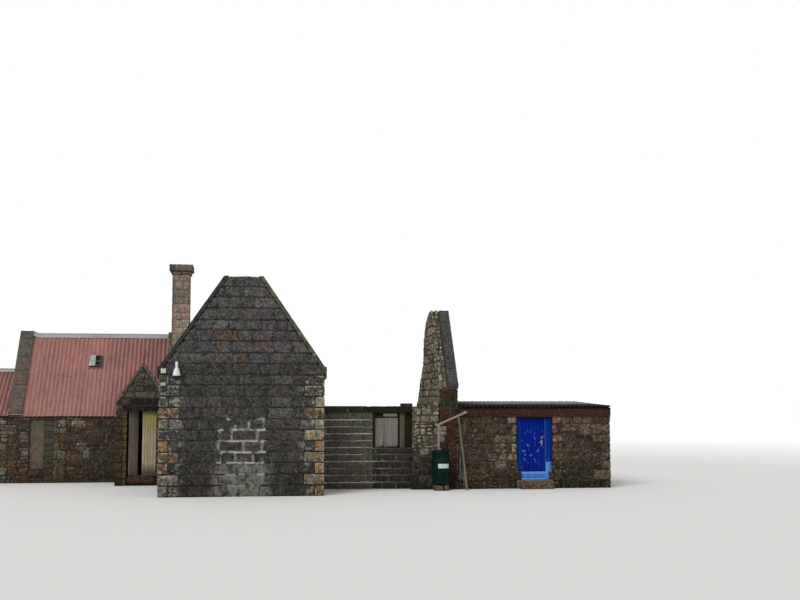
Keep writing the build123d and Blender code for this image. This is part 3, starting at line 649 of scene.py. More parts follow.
def repointed(finish, colour):
    """The pale mortar round the stones of that patch, smeared over their faces at its foot, and
    spattered beside the quoins."""
    share, smeared = pointed_share(finish)
    rim = finish.plus(finish.middle(), finish.times(finish.noise(14.0), 0.5))
    share = finish.times(share, finish.remap(rim, 0.42, 0.72, 1.0, 0.0))
    colour = finish.mix(finish.times(share, 0.9), colour, (0.38, 0.38, 0.33))
    blots = finish.remap(finish.noise(6.0, 5, 0.7), 0.38, 0.56, 0.0, 0.85)
    colour = finish.mix(finish.times(smeared, blots), colour, (0.30, 0.295, 0.25))
    x, y, z = finish.xyz()
    beside = finish.remap(finish.maths("ABSOLUTE", x), 1.62, 1.95, 0.0, 1.0)
    beside = finish.times(beside, on_front(finish, y))
    beside = finish.times(beside, finish.remap(z, 3.4, 3.7, 1.0, 0.0))
    spatter = finish.remap(finish.noise(4.5, 6, 0.72), 0.54, 0.60, 0.0, 0.8)
    return finish.mix(finish.times(beside, spatter), colour, (0.33, 0.315, 0.27))


def pointed_mortar(finish, colour):
    return finish.mix(pointed_share(finish)[0], colour, (0.42, 0.42, 0.37))


def quoins_of(kinds):
    """The colours of the quoins of one corner, from the ground up, then plain whinstone."""
    def pick(rng, number):
        return vary(rng, kinds[number] if number < len(kinds) else whin_grey, 0.10)
    return pick


def front_starts(number):
    if wing_courses[number + 1] > gable_foot + 0.02:
        return 0.0, 0.0
    return (quoin_reach(number)[0],) * 2


def front_colour(rng, x, z):
    """As the rest of the wing but paler in the gable, with two reddish runs left of its middle."""
    if (4.65 < z < 5.05 or 3.80 < z < 4.15) and 1.9 < x < 2.5:
        return vary(rng, whin_red, 0.1)
    red, green, blue = wing_colour(rng)
    return (1.32 * red, 1.32 * green, 1.32 * (blue * 1.06)) if z > 3.9 else (red, green, blue)


def wall_depth(normal, centre):
    """Every upright face stands back behind its stones; the underside stays on the ground."""
    return 0.0 if normal.z < -0.5 else joint_depth


west_quoins = quoins_of((sandstone_grey, sandstone_grey, sandstone_red, sandstone_red,
                         sandstone_orange, whin_grey, sandstone_grey, sandstone_red, whin_brown))
east_quoins = quoins_of((sandstone_orange, sandstone_grey, sandstone_orange, sandstone_grey,
                         sandstone_orange, sandstone_buff, sandstone_buff, sandstone_red,
                         sandstone_buff, whin_red))
front_work = Work()
front_side = Side(wing_west, front_y, FRONT)
front_border = outline_of(front_side, "wing_front_gable")
gable_foot = sorted(point.y for point in front_border)[2]
lay_courses(front_work, front_side, front_border, wing_courses, wing_rng, front_colour,
            front_starts, **squared)
for x, toward, quoins in ((wing_west, 1, west_quoins), (wing_east, -1, east_quoins)):
    lay_quoins(front_work, x, front_y, toward, 1, wing_courses, gable_foot, wing_rng, quoins, 2)
back_side = Side(wing_east, inner_front, BACK)
lay_courses(front_work, back_side, outline_of(back_side, "wing_front_gable"), wing_courses,
            wing_rng, wing_colour)
front_work.core("wing_front_gable", wall_depth)
whinstone = stone_finish("whinstone", patch=repointed, contrast=0.75, damp=1.5, wet_from=0.9,
                         wet=0.60)
wing_mortar = mortar_finish("wing_mortar", (0.060, 0.055, 0.047), (0.026, 0.024, 0.021),
                            patch=pointed_mortar)
quoin_stone = stone_finish("quoin_sandstone", lichen=0.4, moss=0.2, wash=0.68, smears=0.56,
                           contrast=0.8, rim=0.6, mortar=(0.36, 0.335, 0.285))
front_work.done("wing_front_stonework", [whinstone, wing_mortar, quoin_stone], "whinstone",
                "wing_front_gable")


# Wing, long walls
# The same whinstone in courses outside, with rougher rubble inside. The roof is gone, so the
# wall heads are ragged and open to the rain.
wall_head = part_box("wing_east_wall")[1].z
inner_west, inner_east = wing_west + wing_wall, wing_east - wing_wall
rear_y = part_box("wing_rear_gable")[1].y
inner_rear = rear_y - wing_wall
left_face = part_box("left_front_wall")[0].y
inside_colour = by_draw(0.2, (0.5, whin_brown), (0.8, whin_pale), (0.95, sandstone_grey),
                        (1, sandstone_red))


def box_panel(left, right, low, high):
    return [Vector((left, low)), Vector((right, low)), Vector((right, high)), Vector((left, high))]


def lay_rubble(work, side, border, rng, pick, band=0.33, length=0.36, cut=0.034, jitter=0.022,
               back=0.014, starts=None, lines=None, fit=None, **how):
    """Rubble brought to rough courses: large stones, and stacks of thinner ones beside them."""
    left, right = min(point.x for point in border), max(point.x for point in border)
    low, high = min(point.y for point in border), max(point.y for point in border)
    for number, (foot, head) in enumerate(pairs(lines or course_lines(rng, low, high, band, 0.16))):
        if head <= low or foot >= high:
            continue
        taken = starts(number) if starts else (rng.uniform(-0.5, -0.1) * length, 0.0)
        places = joints_along(rng, left + taken[0], right - taken[1], length, 0.45)
        for a, b in pairs(places):
            draw, cuts = rng.random(), [foot, head]
            if draw < 0.34:
                cuts.insert(1, foot + (head - foot) * rng.uniform(0.36, 0.64))
            elif draw < 0.42:
                cuts[1:1] = [foot + (head - foot) * 0.32, foot + (head - foot) * 0.68]
            for under, over in pairs(cuts):
                halves = [a, b]
                if over - under < 0.2 and b - a > 0.42 and rng.random() < 0.5:
                    halves.insert(1, a + (b - a) * rng.uniform(0.4, 0.6))
                for first, last in pairs(halves):
                    cell = box_panel(first, last, under, over)
                    centre = (cell[0] + cell[2]) / 2
                    for corner in cell:
                        corner += (centre - corner).normalized() * rng.uniform(-0.2, 1.0) * jitter
                    shape = trim(cell, fit) if fit else clip(cell, border)
                    if shape:
                        work.stone(side, shape, pick(rng, *mean(shape)), cut=cut,
                                   back=rng.uniform(0, back), **how)


def flank_starts(number):
    return (quoin_reach(number)[1],) * 2


def west_starts(number):
    return 0.0, quoin_reach(number)[1]


def near_top(number):
    """Over the wall head, room for the quoins as far up as they go."""
    return (quoin_reach(number)[1] if wing_courses[number + 1] < gable_foot + 0.02 else 0.0), 0.0


def far_top(number):
    return near_top(number)[::-1]


def bare_ends(normal, centre):
    """The faces stand back, but not the ends, which butt against the gables."""
    return 0.0 if normal.z < -0.5 or abs(normal.y) > 0.5 else joint_depth


wall_work = Work()
east_side, wing_depth = Side(wing_east, front_y, EAST), rear_y - front_y
west_side, west_depth = Side(wing_west, left_face, WEST), left_face - front_y
for side, depth, starts in ((east_side, wing_depth, flank_starts),
                            (west_side, west_depth, west_starts)):
    lay_courses(wall_work, side, box_panel(0, depth, 0, wall_head), wing_courses, wing_rng,
                wing_colour, starts, step=0.11, **squared)
for side, start, starts in ((east_side, 0.0, near_top),
                            (east_side, wing_depth - wing_wall, far_top),
                            (Side(wing_west, inner_front, WEST), 0.0, far_top),
                            (Side(wing_west, rear_y, WEST), 0.0, None)):
    lay_courses(wall_work, side, box_panel(start, start + wing_wall, wall_head, gable_foot),
                wing_courses, wing_rng, wing_colour, starts)
inner_length = inner_rear - inner_front
for side in (Side(inner_east, inner_rear, WEST), Side(inner_west, inner_front, EAST)):
    lay_rubble(wall_work, side, box_panel(0, inner_length, 0, wall_head), wing_rng, inside_colour,
               step=0.14)
head_rng = random.Random(23)
for west in (wing_west, inner_east):
    lay_rubble(wall_work, Side(west, inner_front, UP, wall_head),
               box_panel(0, wing_wall, 0, inner_length), head_rng, inside_colour, band=0.36,
               length=0.34, back=0.05, rough=0.022)
for node in ("wing_west_wall", "wing_east_wall"):
    wall_work.core(node, bare_ends)
wall_work.done("wing_wall_stonework", [whinstone, wing_mortar], "whinstone", "wing_west_wall",
               "wing_east_wall")


# Wing, rear gable
# It repeats the front gable, with a plain doorway to the platform under a long stone lintel.
rear_work = Work()
door_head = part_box("wing_rear_piers")[1].z
door_half = 0.5
lintel_height, lintel_over, lintel_deep = 0.30, 0.22, 0.26
lintel_left, lintel_right = (wing_east - door_half - lintel_over,
                             wing_east + door_half + lintel_over)


def convex(points):
    """Points in the order that they have round their middle, turning left."""
    middle = mean(points)
    return sorted(points, key=lambda point: math.atan2(point.y - middle.y, point.x - middle.x))


def panels_around(border, left, right, low, high):
    """The convex parts of a convex border that lie beside, over and under an opening."""
    parts = [clip(border, box_panel(-far, left, -far, far)),
             clip(border, box_panel(right, far, -far, far)),
             clip(border, box_panel(left, right, high, far)),
             clip(border, box_panel(left, right, -far, low))]
    return [part for part in parts if part]


def rear_starts(number):
    return front_starts(number)[0], 0.0


def with_foot(side, looking, width):
    """The outline of the rear gable carried down to the ground."""
    upper = [corner for corner in corners_of("wing_rear_gable", looking)
             if corner.z > door_head + 0.1]
    return convex(on_side(side, upper) + [Vector((0.0, 0.0)), Vector((width, 0.0))])


rear_side = Side(wing_east, rear_y, BACK)
rear_border = with_foot(rear_side, BACK, wing_east - wing_west)
for panel in panels_around(rear_border, wing_east - door_half, wing_east + door_half, -1,
                           door_head):
    lintel_top = door_head + lintel_height
    for area in ((0, far, lintel_top, far), (-far, lintel_left, -1, lintel_top),
                 (lintel_right, far, -1, lintel_top), (lintel_left, lintel_right, -1, door_head)):
        part = clip(panel, box_panel(*area))
        if part:
            at_corner = min(point.x for point in part) < 0.01
            lay_courses(rear_work, rear_side, part, wing_courses, wing_rng, wing_colour,
                        rear_starts if at_corner else None, step=0.1, **squared)
lay_quoins(rear_work, wing_east, rear_y, -1, -1, wing_courses, gable_foot, wing_rng, east_quoins, 2)
rear_work.block((-door_half - lintel_over, rear_y - lintel_deep, door_head),
                (door_half + lintel_over, rear_y, door_head + lintel_height),
                vary(wing_rng, sandstone_grey))
rear_inner = Side(inner_west, inner_rear, FRONT)
for panel in panels_around(with_foot(rear_inner, FRONT, inner_east - inner_west),
                           inner_east - door_half, inner_east + door_half, -1, door_head):
    lay_rubble(rear_work, rear_inner, panel, wing_rng, inside_colour)
for x, y, looking in ((door_half, rear_y, WEST), (-door_half, inner_rear, EAST)):
    lay_courses(rear_work, Side(x, y, looking), box_panel(0, wing_wall, 0, door_head),
                wing_courses, wing_rng, wing_colour)
rear_work.core("wing_rear_piers", lambda n, c: 0.0 if abs(n.z) > 0.5 else joint_depth)
rear_work.core("wing_rear_gable", wall_depth)
rear_work.done("wing_rear_stonework", [whinstone, wing_mortar, quoin_stone], "whinstone",
               "wing_rear_piers", "wing_rear_gable")


# Wing copings
# Long flags of whinstone bedded on the slopes of both gables, each held at its foot by a
# skewputt that corbels out from the wall.
wing_pitch = math.radians(55.5)
coping, coping_length, coping_gap = 0.12, 0.72, 0.0003
skewputt, skewputt_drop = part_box("wing_skews")[1].x - wing_east, 0.20
skew_foot = 3.86
coping_grey = (0.078, 0.080, 0.060)
coping_dark = (0.040, 0.034, 0.036)
coping_rng = random.Random(31)


def lay_prism(work, side, outline, thick, colour, edge=0.009, step=0.12, rough=0.008):
    """A convex stone carried through a wall, from the side's face back by its thickness."""
    ring = ring_of(outline, edge, step)
    centre = mean(ring)
    count = max(1, round(thick / step))
    depths = [0.0, -edge, *(-edge - (thick - 2 * edge) * number / count
                            for number in range(1, count)), -thick + edge, -thick]
    points, last = [], len(depths) - 1
    for number, depth in enumerate(depths):
        for point in ring:
            inward = (centre - point).normalized()
            spot = point + inward * (edge if number in (0, last) else 0.0)
            at = side.at(spot.x, spot.y, depth)
            dent = 0.6 + noise.noise(at * 9.0) + 0.7 * noise.noise(at * 22.0)
            spot = spot + inward * (rough * max(0.0, dent))
            points.append(side.at(spot.x, spot.y, depth))
    size, front = len(ring), len(points)
    faces = [(b, a, d, c) for a, b, c, d in bands(size, last)]
    points += [side.at(*centre, -rough * 0.5), side.at(*centre, -thick + rough * 0.5)]
    for number in range(size):
        after = (number + 1) % size
        faces += [(number, after, front), (last * size + after, last * size + number, front + 1)]
    work.add(points, faces, colour, [0.6] * front + [1.0, 1.0],
             flip=side.run.cross(side.up).dot(side.out) < 0)


def lay_coping(work, side, foot, direction, pitch, top, thick, deep, rng, colour, amount,
               putt=0.0, drop=0.0, length=coping_length, limit=None):
    """The stones up one slope: foot is the point on the side where the slope starts, direction
    is +1 or -1 for the way it climbs, and top is the height where it stops."""
    foot = Vector(foot)
    along = Vector((direction * math.cos(pitch), math.sin(pitch)))
    down = Vector((along.y * direction, -along.x * direction)) * thick
    rise = thick / math.cos(pitch)
    border = convex([Vector((x, y)) for x in (foot.x, foot.x + far * direction) for y in (-9, top)])
    if limit is not None:
        border = clip(border, limit)
    for low, high in pairs(joints_along(rng, -rise, (top - foot.y) / math.sin(pitch) + rise,
                                        length, 0.2)):
        low, high = foot + along * (low + coping_gap), foot + along * (high - coping_gap)
        part = clip(convex([low, low + down, high + down, high]), border)
        if part:
            lay_prism(work, side, part, deep, vary(rng, colour, amount))
    if putt:
        out = foot.x - direction * putt
        under = foot.y - rise - drop
        quad = [Vector((foot.x, under)), Vector((out, under + putt)), Vector((out, foot.y)), foot]
        lay_prism(work, side, convex(quad), deep, vary(rng, colour, amount))


coping_work = Work()
for y in (front_y, inner_rear):
    for direction, colour in ((1, coping_dark), (-1, coping_grey)):
        lay_coping(coping_work, Side(0, y, FRONT), (-direction * wing_east, skew_foot), direction,
                   wing_pitch, wing_height, coping, wing_wall, coping_rng, colour, 0.12, skewputt,
                   skewputt_drop)
mossy_stone = stone_finish("mossy_coping", moss=0.75, lichen=0.35, wash=0.0, damp=0.1)
coping_work.done("wing_copings", [mossy_stone], "whinstone", "wing_skews")


# Main range, end gable
# Random rubble of grey and reddish stone, the front slope whole under its coping, the rear slope
# fallen in steps. Quoins stand at the corners and loose stones lie along the break.
gable_low, gable_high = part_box("main_end_gable")
main_front, main_rear, main_top = gable_low.y, gable_high.y, gable_high.z
end_west, end_east = gable_low.x, gable_high.x
end_wall, span = end_east - end_west, main_rear - main_front
rubble_grey = (0.1832, 0.1650, 0.1247)
rubble_brown = (0.1919, 0.1500, 0.1032)
rubble_red = (0.0900, 0.0540, 0.0418)
rubble_pale = (0.2631, 0.2379, 0.1655)
red_patch, damp_green = (0.040, 0.020, 0.013), (0.026, 0.030, 0.020)
brick_red = (0.048, 0.021, 0.014)
gable_rng = random.Random(47)
gable_work = Work()
rubble_colour = by_draw(0.2, (0.50, rubble_grey), (0.78, rubble_brown), (0.86, rubble_red),
                        (1, rubble_pale))


def inside(point, outline):
    """Whether a point lies inside an outline that may have hollow corners."""
    odd = False
    for number, b in enumerate(outline):
        a = outline[number - 1]
        if (a.y > point.y) != (b.y > point.y):
            if point.x < a.x + (b.x - a.x) * (point.y - a.y) / (b.y - a.y):
                odd = not odd
    return odd


def trim(cell, outline):
    """A stone's outline cut by the edges of a broken wall that cross it, or nothing outside."""
    if not inside(mean(cell), outline):
        return []
    part = cell
    for number, b in enumerate(outline):
        a = outline[number - 1]
        if any(inside(a.lerp(b, share / 12), part) for share in range(13)):
            along = (b - a).normalized() * 50
            inward = Vector((-along.y, along.x))
            part = clip(part, [a - along, b + along, b + along + inward, a - along + inward])
        if not part:
            return []
    return part


def slope_base(start, end, across):
    """The run of a slope, its direction, and axes along, across and off it."""
    way, across = (end - start).normalized(), Vector(across)
    up = across.cross(way)
    up = up if up.z > 0 else -up
    return (end - start).length, way, up, Matrix((way, across, up)).transposed()


def lay_loose(work, start, end, across, wide, rng, pick, high=0.2, length=0.3):
    """Stones lying along a broken edge from start to end, side by side over the wall's width."""
    run, way, up, base = slope_base(start, end, across)
    for first, last in pairs(joints_along(rng, 0.0, run, length, 0.35)):
        split = rng.uniform(0.38, 0.62) * wide
        for low, top in ((0.0, split), (split, wide)):
            size = Vector((last - first - 0.015, top - low - 0.015, high * rng.uniform(0.7, 1.0)))
            tilt = (Matrix.Rotation(rng.uniform(-0.10, 0.10), 3, "X")
                    @ Matrix.Rotation(rng.uniform(-0.10, 0.10), 3, "Y"))
            middle = start + way * (first + last) / 2 + Vector(across) * (low + top - wide) / 2
            middle -= up * (size.z / 2 + rng.uniform(0.0, 0.05))
            work.block(-size / 2, size / 2, pick(rng, middle.x, middle.z), rough=0.018, edge=0.035,
                       matrix=Matrix.Translation(middle) @ (base @ tilt).to_4x4())


for side in (Side(end_east, main_front, EAST), Side(end_west, main_rear, WEST)):
    lay_rubble(gable_work, side, box_panel(0, span, 0, main_top), gable_rng, rubble_colour,
               fit=outline_of(side, "main_end_gable"), band=0.30, length=0.34)
gable_corners = corners_of("main_end_gable", EAST)
gable_shoulder = min(corner.z for corner in gable_corners
                     if corner.z > 1 and corner.y < main_front + 0.01)
rear_shoulder = max(corner.z for corner in gable_corners if corner.y > main_rear - 0.01)


def return_colour(rng, x, z):
    """The front of the gable's own corner: brick-red low down, dark green with damp under a red
    patch below the coping."""
    if z > 2.87:
        return vary(rng, red_patch, 0.12)
    if z > 2.52:
        return vary(rng, damp_green, 0.15)
    return vary(rng, brick_red if x > 0.12 else rubble_grey, 0.12)


lay_rubble(gable_work, Side(end_west, main_front, FRONT),
           box_panel(0, end_wall, 0, gable_shoulder), gable_rng, return_colour, band=0.30,
           length=0.36, gap=0.004, slot=2)
lay_rubble(gable_work, Side(end_east, main_rear, BACK), box_panel(0, end_wall, 0, rear_shoulder),
           gable_rng, rubble_colour)
break_line = sorted((corner for corner in gable_corners
                     if corner.y > main_front + span * 0.35 and corner.z > 1),
                    key=lambda one: one.y)
middle_x = (end_west + end_east) / 2
for before, after in pairs(break_line):
    if (after - before).length > 0.15:
        lay_loose(gable_work, Vector((middle_x, before.y, before.z)),
                  Vector((middle_x, after.y, after.z)), EAST, end_wall, gable_rng, rubble_colour)
flags_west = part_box("main_end_skew")[0].x
slope_top_y = main_front + (main_top - gable_shoulder) / math.tan(wing_pitch)
inner_middle = (end_west + flags_west) / 2
lay_loose(gable_work, Vector((inner_middle, main_front, gable_shoulder + 0.06)),
          Vector((inner_middle, slope_top_y, main_top + 0.06)), EAST,
          flags_west - end_west - 0.03, gable_rng, rubble_colour, high=0.16, length=0.24)
gable_work.core("main_end_gable", wall_depth)


def hollow_shade_and_wet(finish, colour):
    """Ragged black patches: painted shade of hollows where face stones have weathered back, and the
    dark of wet where the wall holds it.
    """
    holes = finish.remap(finish.noise(2.6, 6, 0.66, warp=0.4), 0.535, 0.60, 0.0, 0.62)
    return finish.mix(holes, colour, (0.028, 0.022, 0.018))


rubble_stone = stone_finish("rubble_stone", moss=0.3, lichen=0.6, wash=0.35, damp=0.5,
                            contrast=0.8, rim=0.65, patch=hollow_shade_and_wet)
rubble_mortar = mortar_finish("rubble_mortar", (0.082, 0.072, 0.056), (0.030, 0.026, 0.021))
return_stone = stone_finish("gable_return_stone", moss=0.2, lichen=0.12, wash=0.08, damp=0.5,
                            contrast=0.7, rim=0.4)
gable_work.done("main_gable_stonework", [rubble_stone, rubble_mortar, return_stone], "rubble",
                "main_end_gable")


# Main range, coping of the end gable
# Dark purple-grey flags over the outer half of the wall, only on the front slope.
purple_grey = (0.058, 0.053, 0.056)
flag_low, flag_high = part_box("main_end_skew")
flag_work = Work()
lay_coping(flag_work, Side(end_east, main_front, EAST), (0.0, 3.42), 1, wing_pitch, main_top,
           coping, flag_high.x - flag_low.x, coping_rng, purple_grey, 0.10,
           main_front - flag_low.y, -0.05)
purple_stone = stone_finish("purple_coping", moss=0.1, lichen=0.3, wash=0.0, damp=0.1,
                            contrast=0.4, rim=0.15)
flag_work.done("main_gable_coping", [purple_stone], "whinstone", "main_end_skew")


# Main range, what stands of its front and rear walls
# A stub of the old front wall, broken in teeth towards the window, and a low rear wall with a gap.
ruin_work = Work()
stub_low, stub_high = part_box("front_wall_stub")
stub_depth, stub_middle = stub_high.y - stub_low.y, (stub_low.y + stub_high.y) / 2
block_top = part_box("block_wall")[1].z
tooth_step, tooth_foot, tooth_head = 0.12, 1.08, 1.2
stub_dark, stub_damp = (0.022, 0.021, 0.016), (0.050, 0.046, 0.036)
stub_colour = by_place(0.2, 0.0, (-far, far, -far, 1.2, (0.7, stub_dark), (1, stub_damp)),
                       (-far, far, -far, far, (0.5, rubble_pale), (0.85, rubble_grey),
                        (1, rubble_brown)))
for x, y, looking, west, east, how in (
        (0, main_front, FRONT, stub_low.x, stub_high.x, {"band": 0.22, "length": 0.26,
                                                         "jitter": 0.03}),
        (0, stub_high.y, BACK, -stub_high.x, -stub_low.x, {"band": 0.26, "length": 0.3})):
    side = Side(x, y, looking)
    lay_rubble(ruin_work, side, box_panel(west, east, 0, stub_high.z), gable_rng, stub_colour,
               fit=outline_of(side, "front_wall_stub"), **how)
for x, low, high in ((stub_low.x, 0, tooth_foot), (stub_low.x + tooth_step, tooth_head, block_top)):
    lay_rubble(ruin_work, Side(x, stub_high.y, WEST), box_panel(0, stub_depth, low, high),
               gable_rng, stub_colour, band=0.24, length=0.3)
stub_tops = sorted((corner for corner in corners_of("front_wall_stub", FRONT) if corner.z > 2),
                   key=lambda one: (one.x, one.z))
for before, after in pairs(stub_tops):
    if (after - before).length > 0.12:
        lay_loose(ruin_work, Vector((before.x, stub_middle, before.z)),
                  Vector((after.x, stub_middle, after.z)), BACK, stub_depth, gable_rng,
                  stub_colour, high=0.14, length=0.24)
rear_low, rear_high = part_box("main_rear_wall")
rear_deep = rear_high.y - rear_low.y
gap_west, gap_east = wing_east + 1.5, wing_east + 2.6
for west, east, end in ((rear_low.x, gap_west, Side(gap_west, rear_low.y, EAST)),
                        (gap_east, rear_high.x, Side(gap_east, rear_high.y, WEST))):
    for side, wide in ((Side(west, rear_low.y, FRONT), east - west),
                       (Side(east, rear_high.y, BACK), east - west), (end, rear_deep)):
        lay_rubble(ruin_work, side, box_panel(0, wide, 0, rear_high.z), gable_rng, rubble_colour)
    lay_rubble(ruin_work, Side(west, rear_low.y, UP, rear_high.z),
               box_panel(0, east - west, 0, rear_deep), gable_rng, rubble_colour, band=0.3,
               length=0.3, back=0.05, rough=0.02)
for node in ("front_wall_stub", "main_rear_wall"):
    ruin_work.core(node, wall_depth)
ruin_work.done("main_range_walls", [rubble_stone, rubble_mortar], "rubble", "front_wall_stub",
               "main_rear_wall")


# Block infill
# Concrete blocks in stretcher bond with pale mortar, dark with algae, closing the old front
# between the wing and the window and standing under the window.
block_height, block_length, block_joint, block_back = 0.2225, 0.45, 0.020, 0.018
block_grey, block_dark = (0.0896, 0.0813, 0.0660), (0.030, 0.027, 0.021)
dark_from = 2.3
block_work = Work()
block_rng = random.Random(59)
infill_low, infill_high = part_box("block_wall")
apron_low, apron_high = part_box("window_apron")
beam_low, beam_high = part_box("window_lintel")
for mirror, side in ((1, Side(0, infill_low.y, FRONT)), (-1, Side(0, infill_high.y, BACK))):
    for low, high, apron in ((infill_low, infill_high, False), (apron_low, apron_high, True)):
        left, right = sorted((low.x * mirror, high.x * mirror))
        panels = [box_panel(left, right, 0, high.z)]
        if not apron:
            near_beam = sorted((beam_low.x * mirror, (high.x + 1) * mirror))
            panels = panels_around(panels[0], *near_beam, beam_low.z, 9)
        for panel in panels:
            for number in range(math.ceil(high.z / block_height)):
                foot = number * block_height
                start = math.floor((left - 1) / block_length) * block_length
                start += block_length / 2 * (number % 2)
                while start < right:
                    part = clip(box_panel(start, start + block_length, foot,
                                          (number + 1) * block_height), panel)
                    if part:
                        grey = block_dark if foot > dark_from or apron else block_grey
                        block_work.stone(side, part, vary(block_rng, grey, 0.12), rough=0.006,
                                         cut=0.006, gap=block_joint, close=0.010, wavy=0.003,
                                         back=block_rng.uniform(0, 0.006))
                    start += block_length
for node in ("block_wall", "window_apron"):
    block_work.core(node, lambda n, c: block_back if abs(n.y) > 0.5 else 0.0)


def block_mortar_finish():
    """Mortar left pale along the beds, in broken lengths, and dark with algae between the ends."""
    finish = Finish("block_mortar", 0.95)
    patchy = finish.noise(1.3, 5, 0.6, stretch=(0.5, 1, 2.6))
    grain = finish.noise(45.0, 6, 0.7)
    x, _, z = finish.xyz()
    bed = finish.remap(finish.maths("PINGPONG", z, block_height / 2), 0.022, 0.034, 1.0, 0.16)
    share = finish.times(bed, finish.remap(patchy, 0.40, 0.58, 0.12, 1.0))
    across = finish.plus(x, finish.between(patchy, -0.5, 0.5))
    under_window = finish.remap(across, apron_low.x, apron_low.x + 0.7, 1.0, 0.12)
    share = finish.times(share, under_window)
    share = finish.times(share, finish.remap(z, 2.36, 2.42, 1.0, 0.05))
    colour = finish.mix(share, (0.050, 0.047, 0.039), (0.46, 0.45, 0.41))
    return finish.done(finish.mottle(colour, grain, 0.7, 1.2), grain, 0.006)


block_stone = stone_finish("concrete_block", moss=0.3, lichen=0.35, wash=0.5, damp=0.7,
                           contrast=0.6, bump=0.006, rim=0.3, mortar=(0.22, 0.21, 0.185))
block_work.done("block_walls", [block_stone, block_mortar_finish()], "concrete_block",
                "block_wall", "window_apron")


# Left range and low bay, outside walls
# Rubble in brown, grey and reddish stone, brought to courses, with squared blocks and pale stones
# at the jamb of the opening that was built up, and larger quoins at the far corners.
left_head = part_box("left_front_wall")[1].z
low_low, low_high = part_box("low_end_gable")
divide_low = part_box("dividing_gable")[0]
shared_low, shared_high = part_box("shared_gable")
opening_low, opening_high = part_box("blocked_panels")
seat_low, seat_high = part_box("chimney_stack")
porch_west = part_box("porch_piers")[0].x
left_rear = low_high.y
ridge_y, left_span = (left_face + left_rear) / 2, left_rear - left_face
low_shoulder, eave_crest = 2.48, 2.39
left_brown = (0.0744, 0.0490, 0.0281)
left_dark = (0.0441, 0.0299, 0.0223)
left_red = (0.0830, 0.0440, 0.0280)
left_pale = (0.1220, 0.1030, 0.0735)
left_grey = (0.0806, 0.0647, 0.0440)
left_scar = (0.115, 0.100, 0.090)
left_rng = random.Random(71)
left_lines = course_lines(left_rng, 0.0, low_shoulder, 0.27, 0.10)
left_work = Work()
# By place: pale at the far corner, a dark strip under the dividing coping, a pale column left of
# the built-up opening, red low down to the right of it, and nearly black next to the porch.
left_colour = by_place(
    0.26, low_low.x,
    (-far, -8.06, -far, far, (0.85, left_pale), (1, left_brown)),
    (-7.50, -7.28, 0.7, far, (1, left_pale)),
    (-7.50, -7.28, -far, far, (1, left_brown)),
    (-8.02, -7.50, -far, far, (0.7, left_dark), (1, left_red)),
    (-6.05, -5.55, 1.9, far, (1, left_pale)),
    (-6.35, -5.55, -far, 1.25, (0.75, left_red), (1, left_brown)),
    (-5.60, -5.2, 1.15, 1.5, (1, left_scar)),
    (-5.60, -5.2, 0.7, 1.0, (1, left_scar)),
    (-5.5, far, 1.75, far, (0.6, left_brown), (1, left_dark)),
    (-5.5, far, -far, far, (1, left_dark)),
    (-far, far, -far, far, (0.5, left_brown), (0.72, left_grey), (1, left_dark)))
end_quoin_colour = by_draw(0.2, (0.55, left_pale), (0.75, left_red), (1, left_grey))


def plain_left_colour(rng, x, z):
    return left_colour(rng, 0.0, z)


def start_quoin(number):
    return quoin_reach(number)[0], 0.0


def end_quoin(number):
    return 0.0, quoin_reach(number)[0]


def low_end_starts(number):
    over = low_end_lines[number + 1] > low_shoulder + 0.01
    return (0.0 if over else quoin_reach(number)[1],) * 2


def coursed(side, border, pick, **how):
    lay_rubble(left_work, side, border, left_rng, pick, lines=left_lines, **how)


left_side = Side(low_low.x, left_face, FRONT)
jamb_wide = 0.42
hole_west, hole_east = opening_low.x - low_low.x, opening_high.x - low_low.x
for panel in panels_around(box_panel(0, hole_east, 0, left_head), hole_west, hole_east,
                           opening_low.z, opening_high.z):
    at_start = min(point.x for point in panel) < 0.01
    coursed(left_side, panel, left_colour, length=0.42, starts=start_quoin if at_start else None)
coursed(left_side, box_panel(hole_east + jamb_wide, porch_west - low_low.x, 0, left_head),
        left_colour, length=0.40)
for number, (low, high) in enumerate(pairs(left_lines)):
    high = min(high, left_head)
    if high - low > 0.05:
        middle = hole_east + (0.13 if number % 2 else 0.19)
        shade = left_pale if low > 1.4 or number == 3 else left_brown
        for first, last, kind in ((hole_east, middle, left_grey),
                                  (middle, hole_east + jamb_wide, shade)):
            left_work.stone(left_side, box_panel(first, last, low, high),
                            vary(left_rng, kind, 0.15))
lay_rubble(left_work, left_side, box_panel(0, low_high.x - low_low.x, left_head, low_shoulder),
           left_rng, left_colour, band=0.3, length=0.3)
inner_low, inner_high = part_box("stone_lintels")[0].x, -2.9375
for panel in panels_around(box_panel(0, shared_low.x - porch_west, 0, left_head),
                           inner_low - porch_west, inner_high - porch_west, -1, left_head):
    lay_rubble(left_work, Side(porch_west, left_face, FRONT), panel, left_rng, plain_left_colour)
rear_run = wing_west - low_low.x
for panel in panels_around(box_panel(0, rear_run - 0.01, 0, left_head),
                           wing_west - opening_high.x, wing_west - opening_low.x, opening_low.z,
                           opening_high.z):
    at_end = max(point.x for point in panel) > rear_run - 0.1
    coursed(Side(wing_west, left_rear, BACK), panel, plain_left_colour, length=0.42,
            starts=end_quoin if at_end else None)
low_end_side = Side(low_low.x, left_rear, WEST)
low_end_outline = convex(outline_of(low_end_side, "low_end_gable"))
low_end_lines = left_lines + course_lines(left_rng, low_shoulder, low_high.z, 0.27, 0.10)[1:]
lay_rubble(left_work, low_end_side, low_end_outline, left_rng, plain_left_colour,
           lines=low_end_lines, starts=low_end_starts)
for y, toward in ((left_face, 1), (left_rear, -1)):
    lay_quoins(left_work, low_low.x, y, 1, toward, left_lines, low_shoulder, left_rng,
               end_quoin_colour)
divide_side = Side(divide_low.x, left_rear, WEST)
over_low_roof = clip(convex(outline_of(divide_side, "dividing_gable")), box_panel(0, 9, 2.1, 9))
lay_rubble(left_work, divide_side, over_low_roof, left_rng, plain_left_colour)
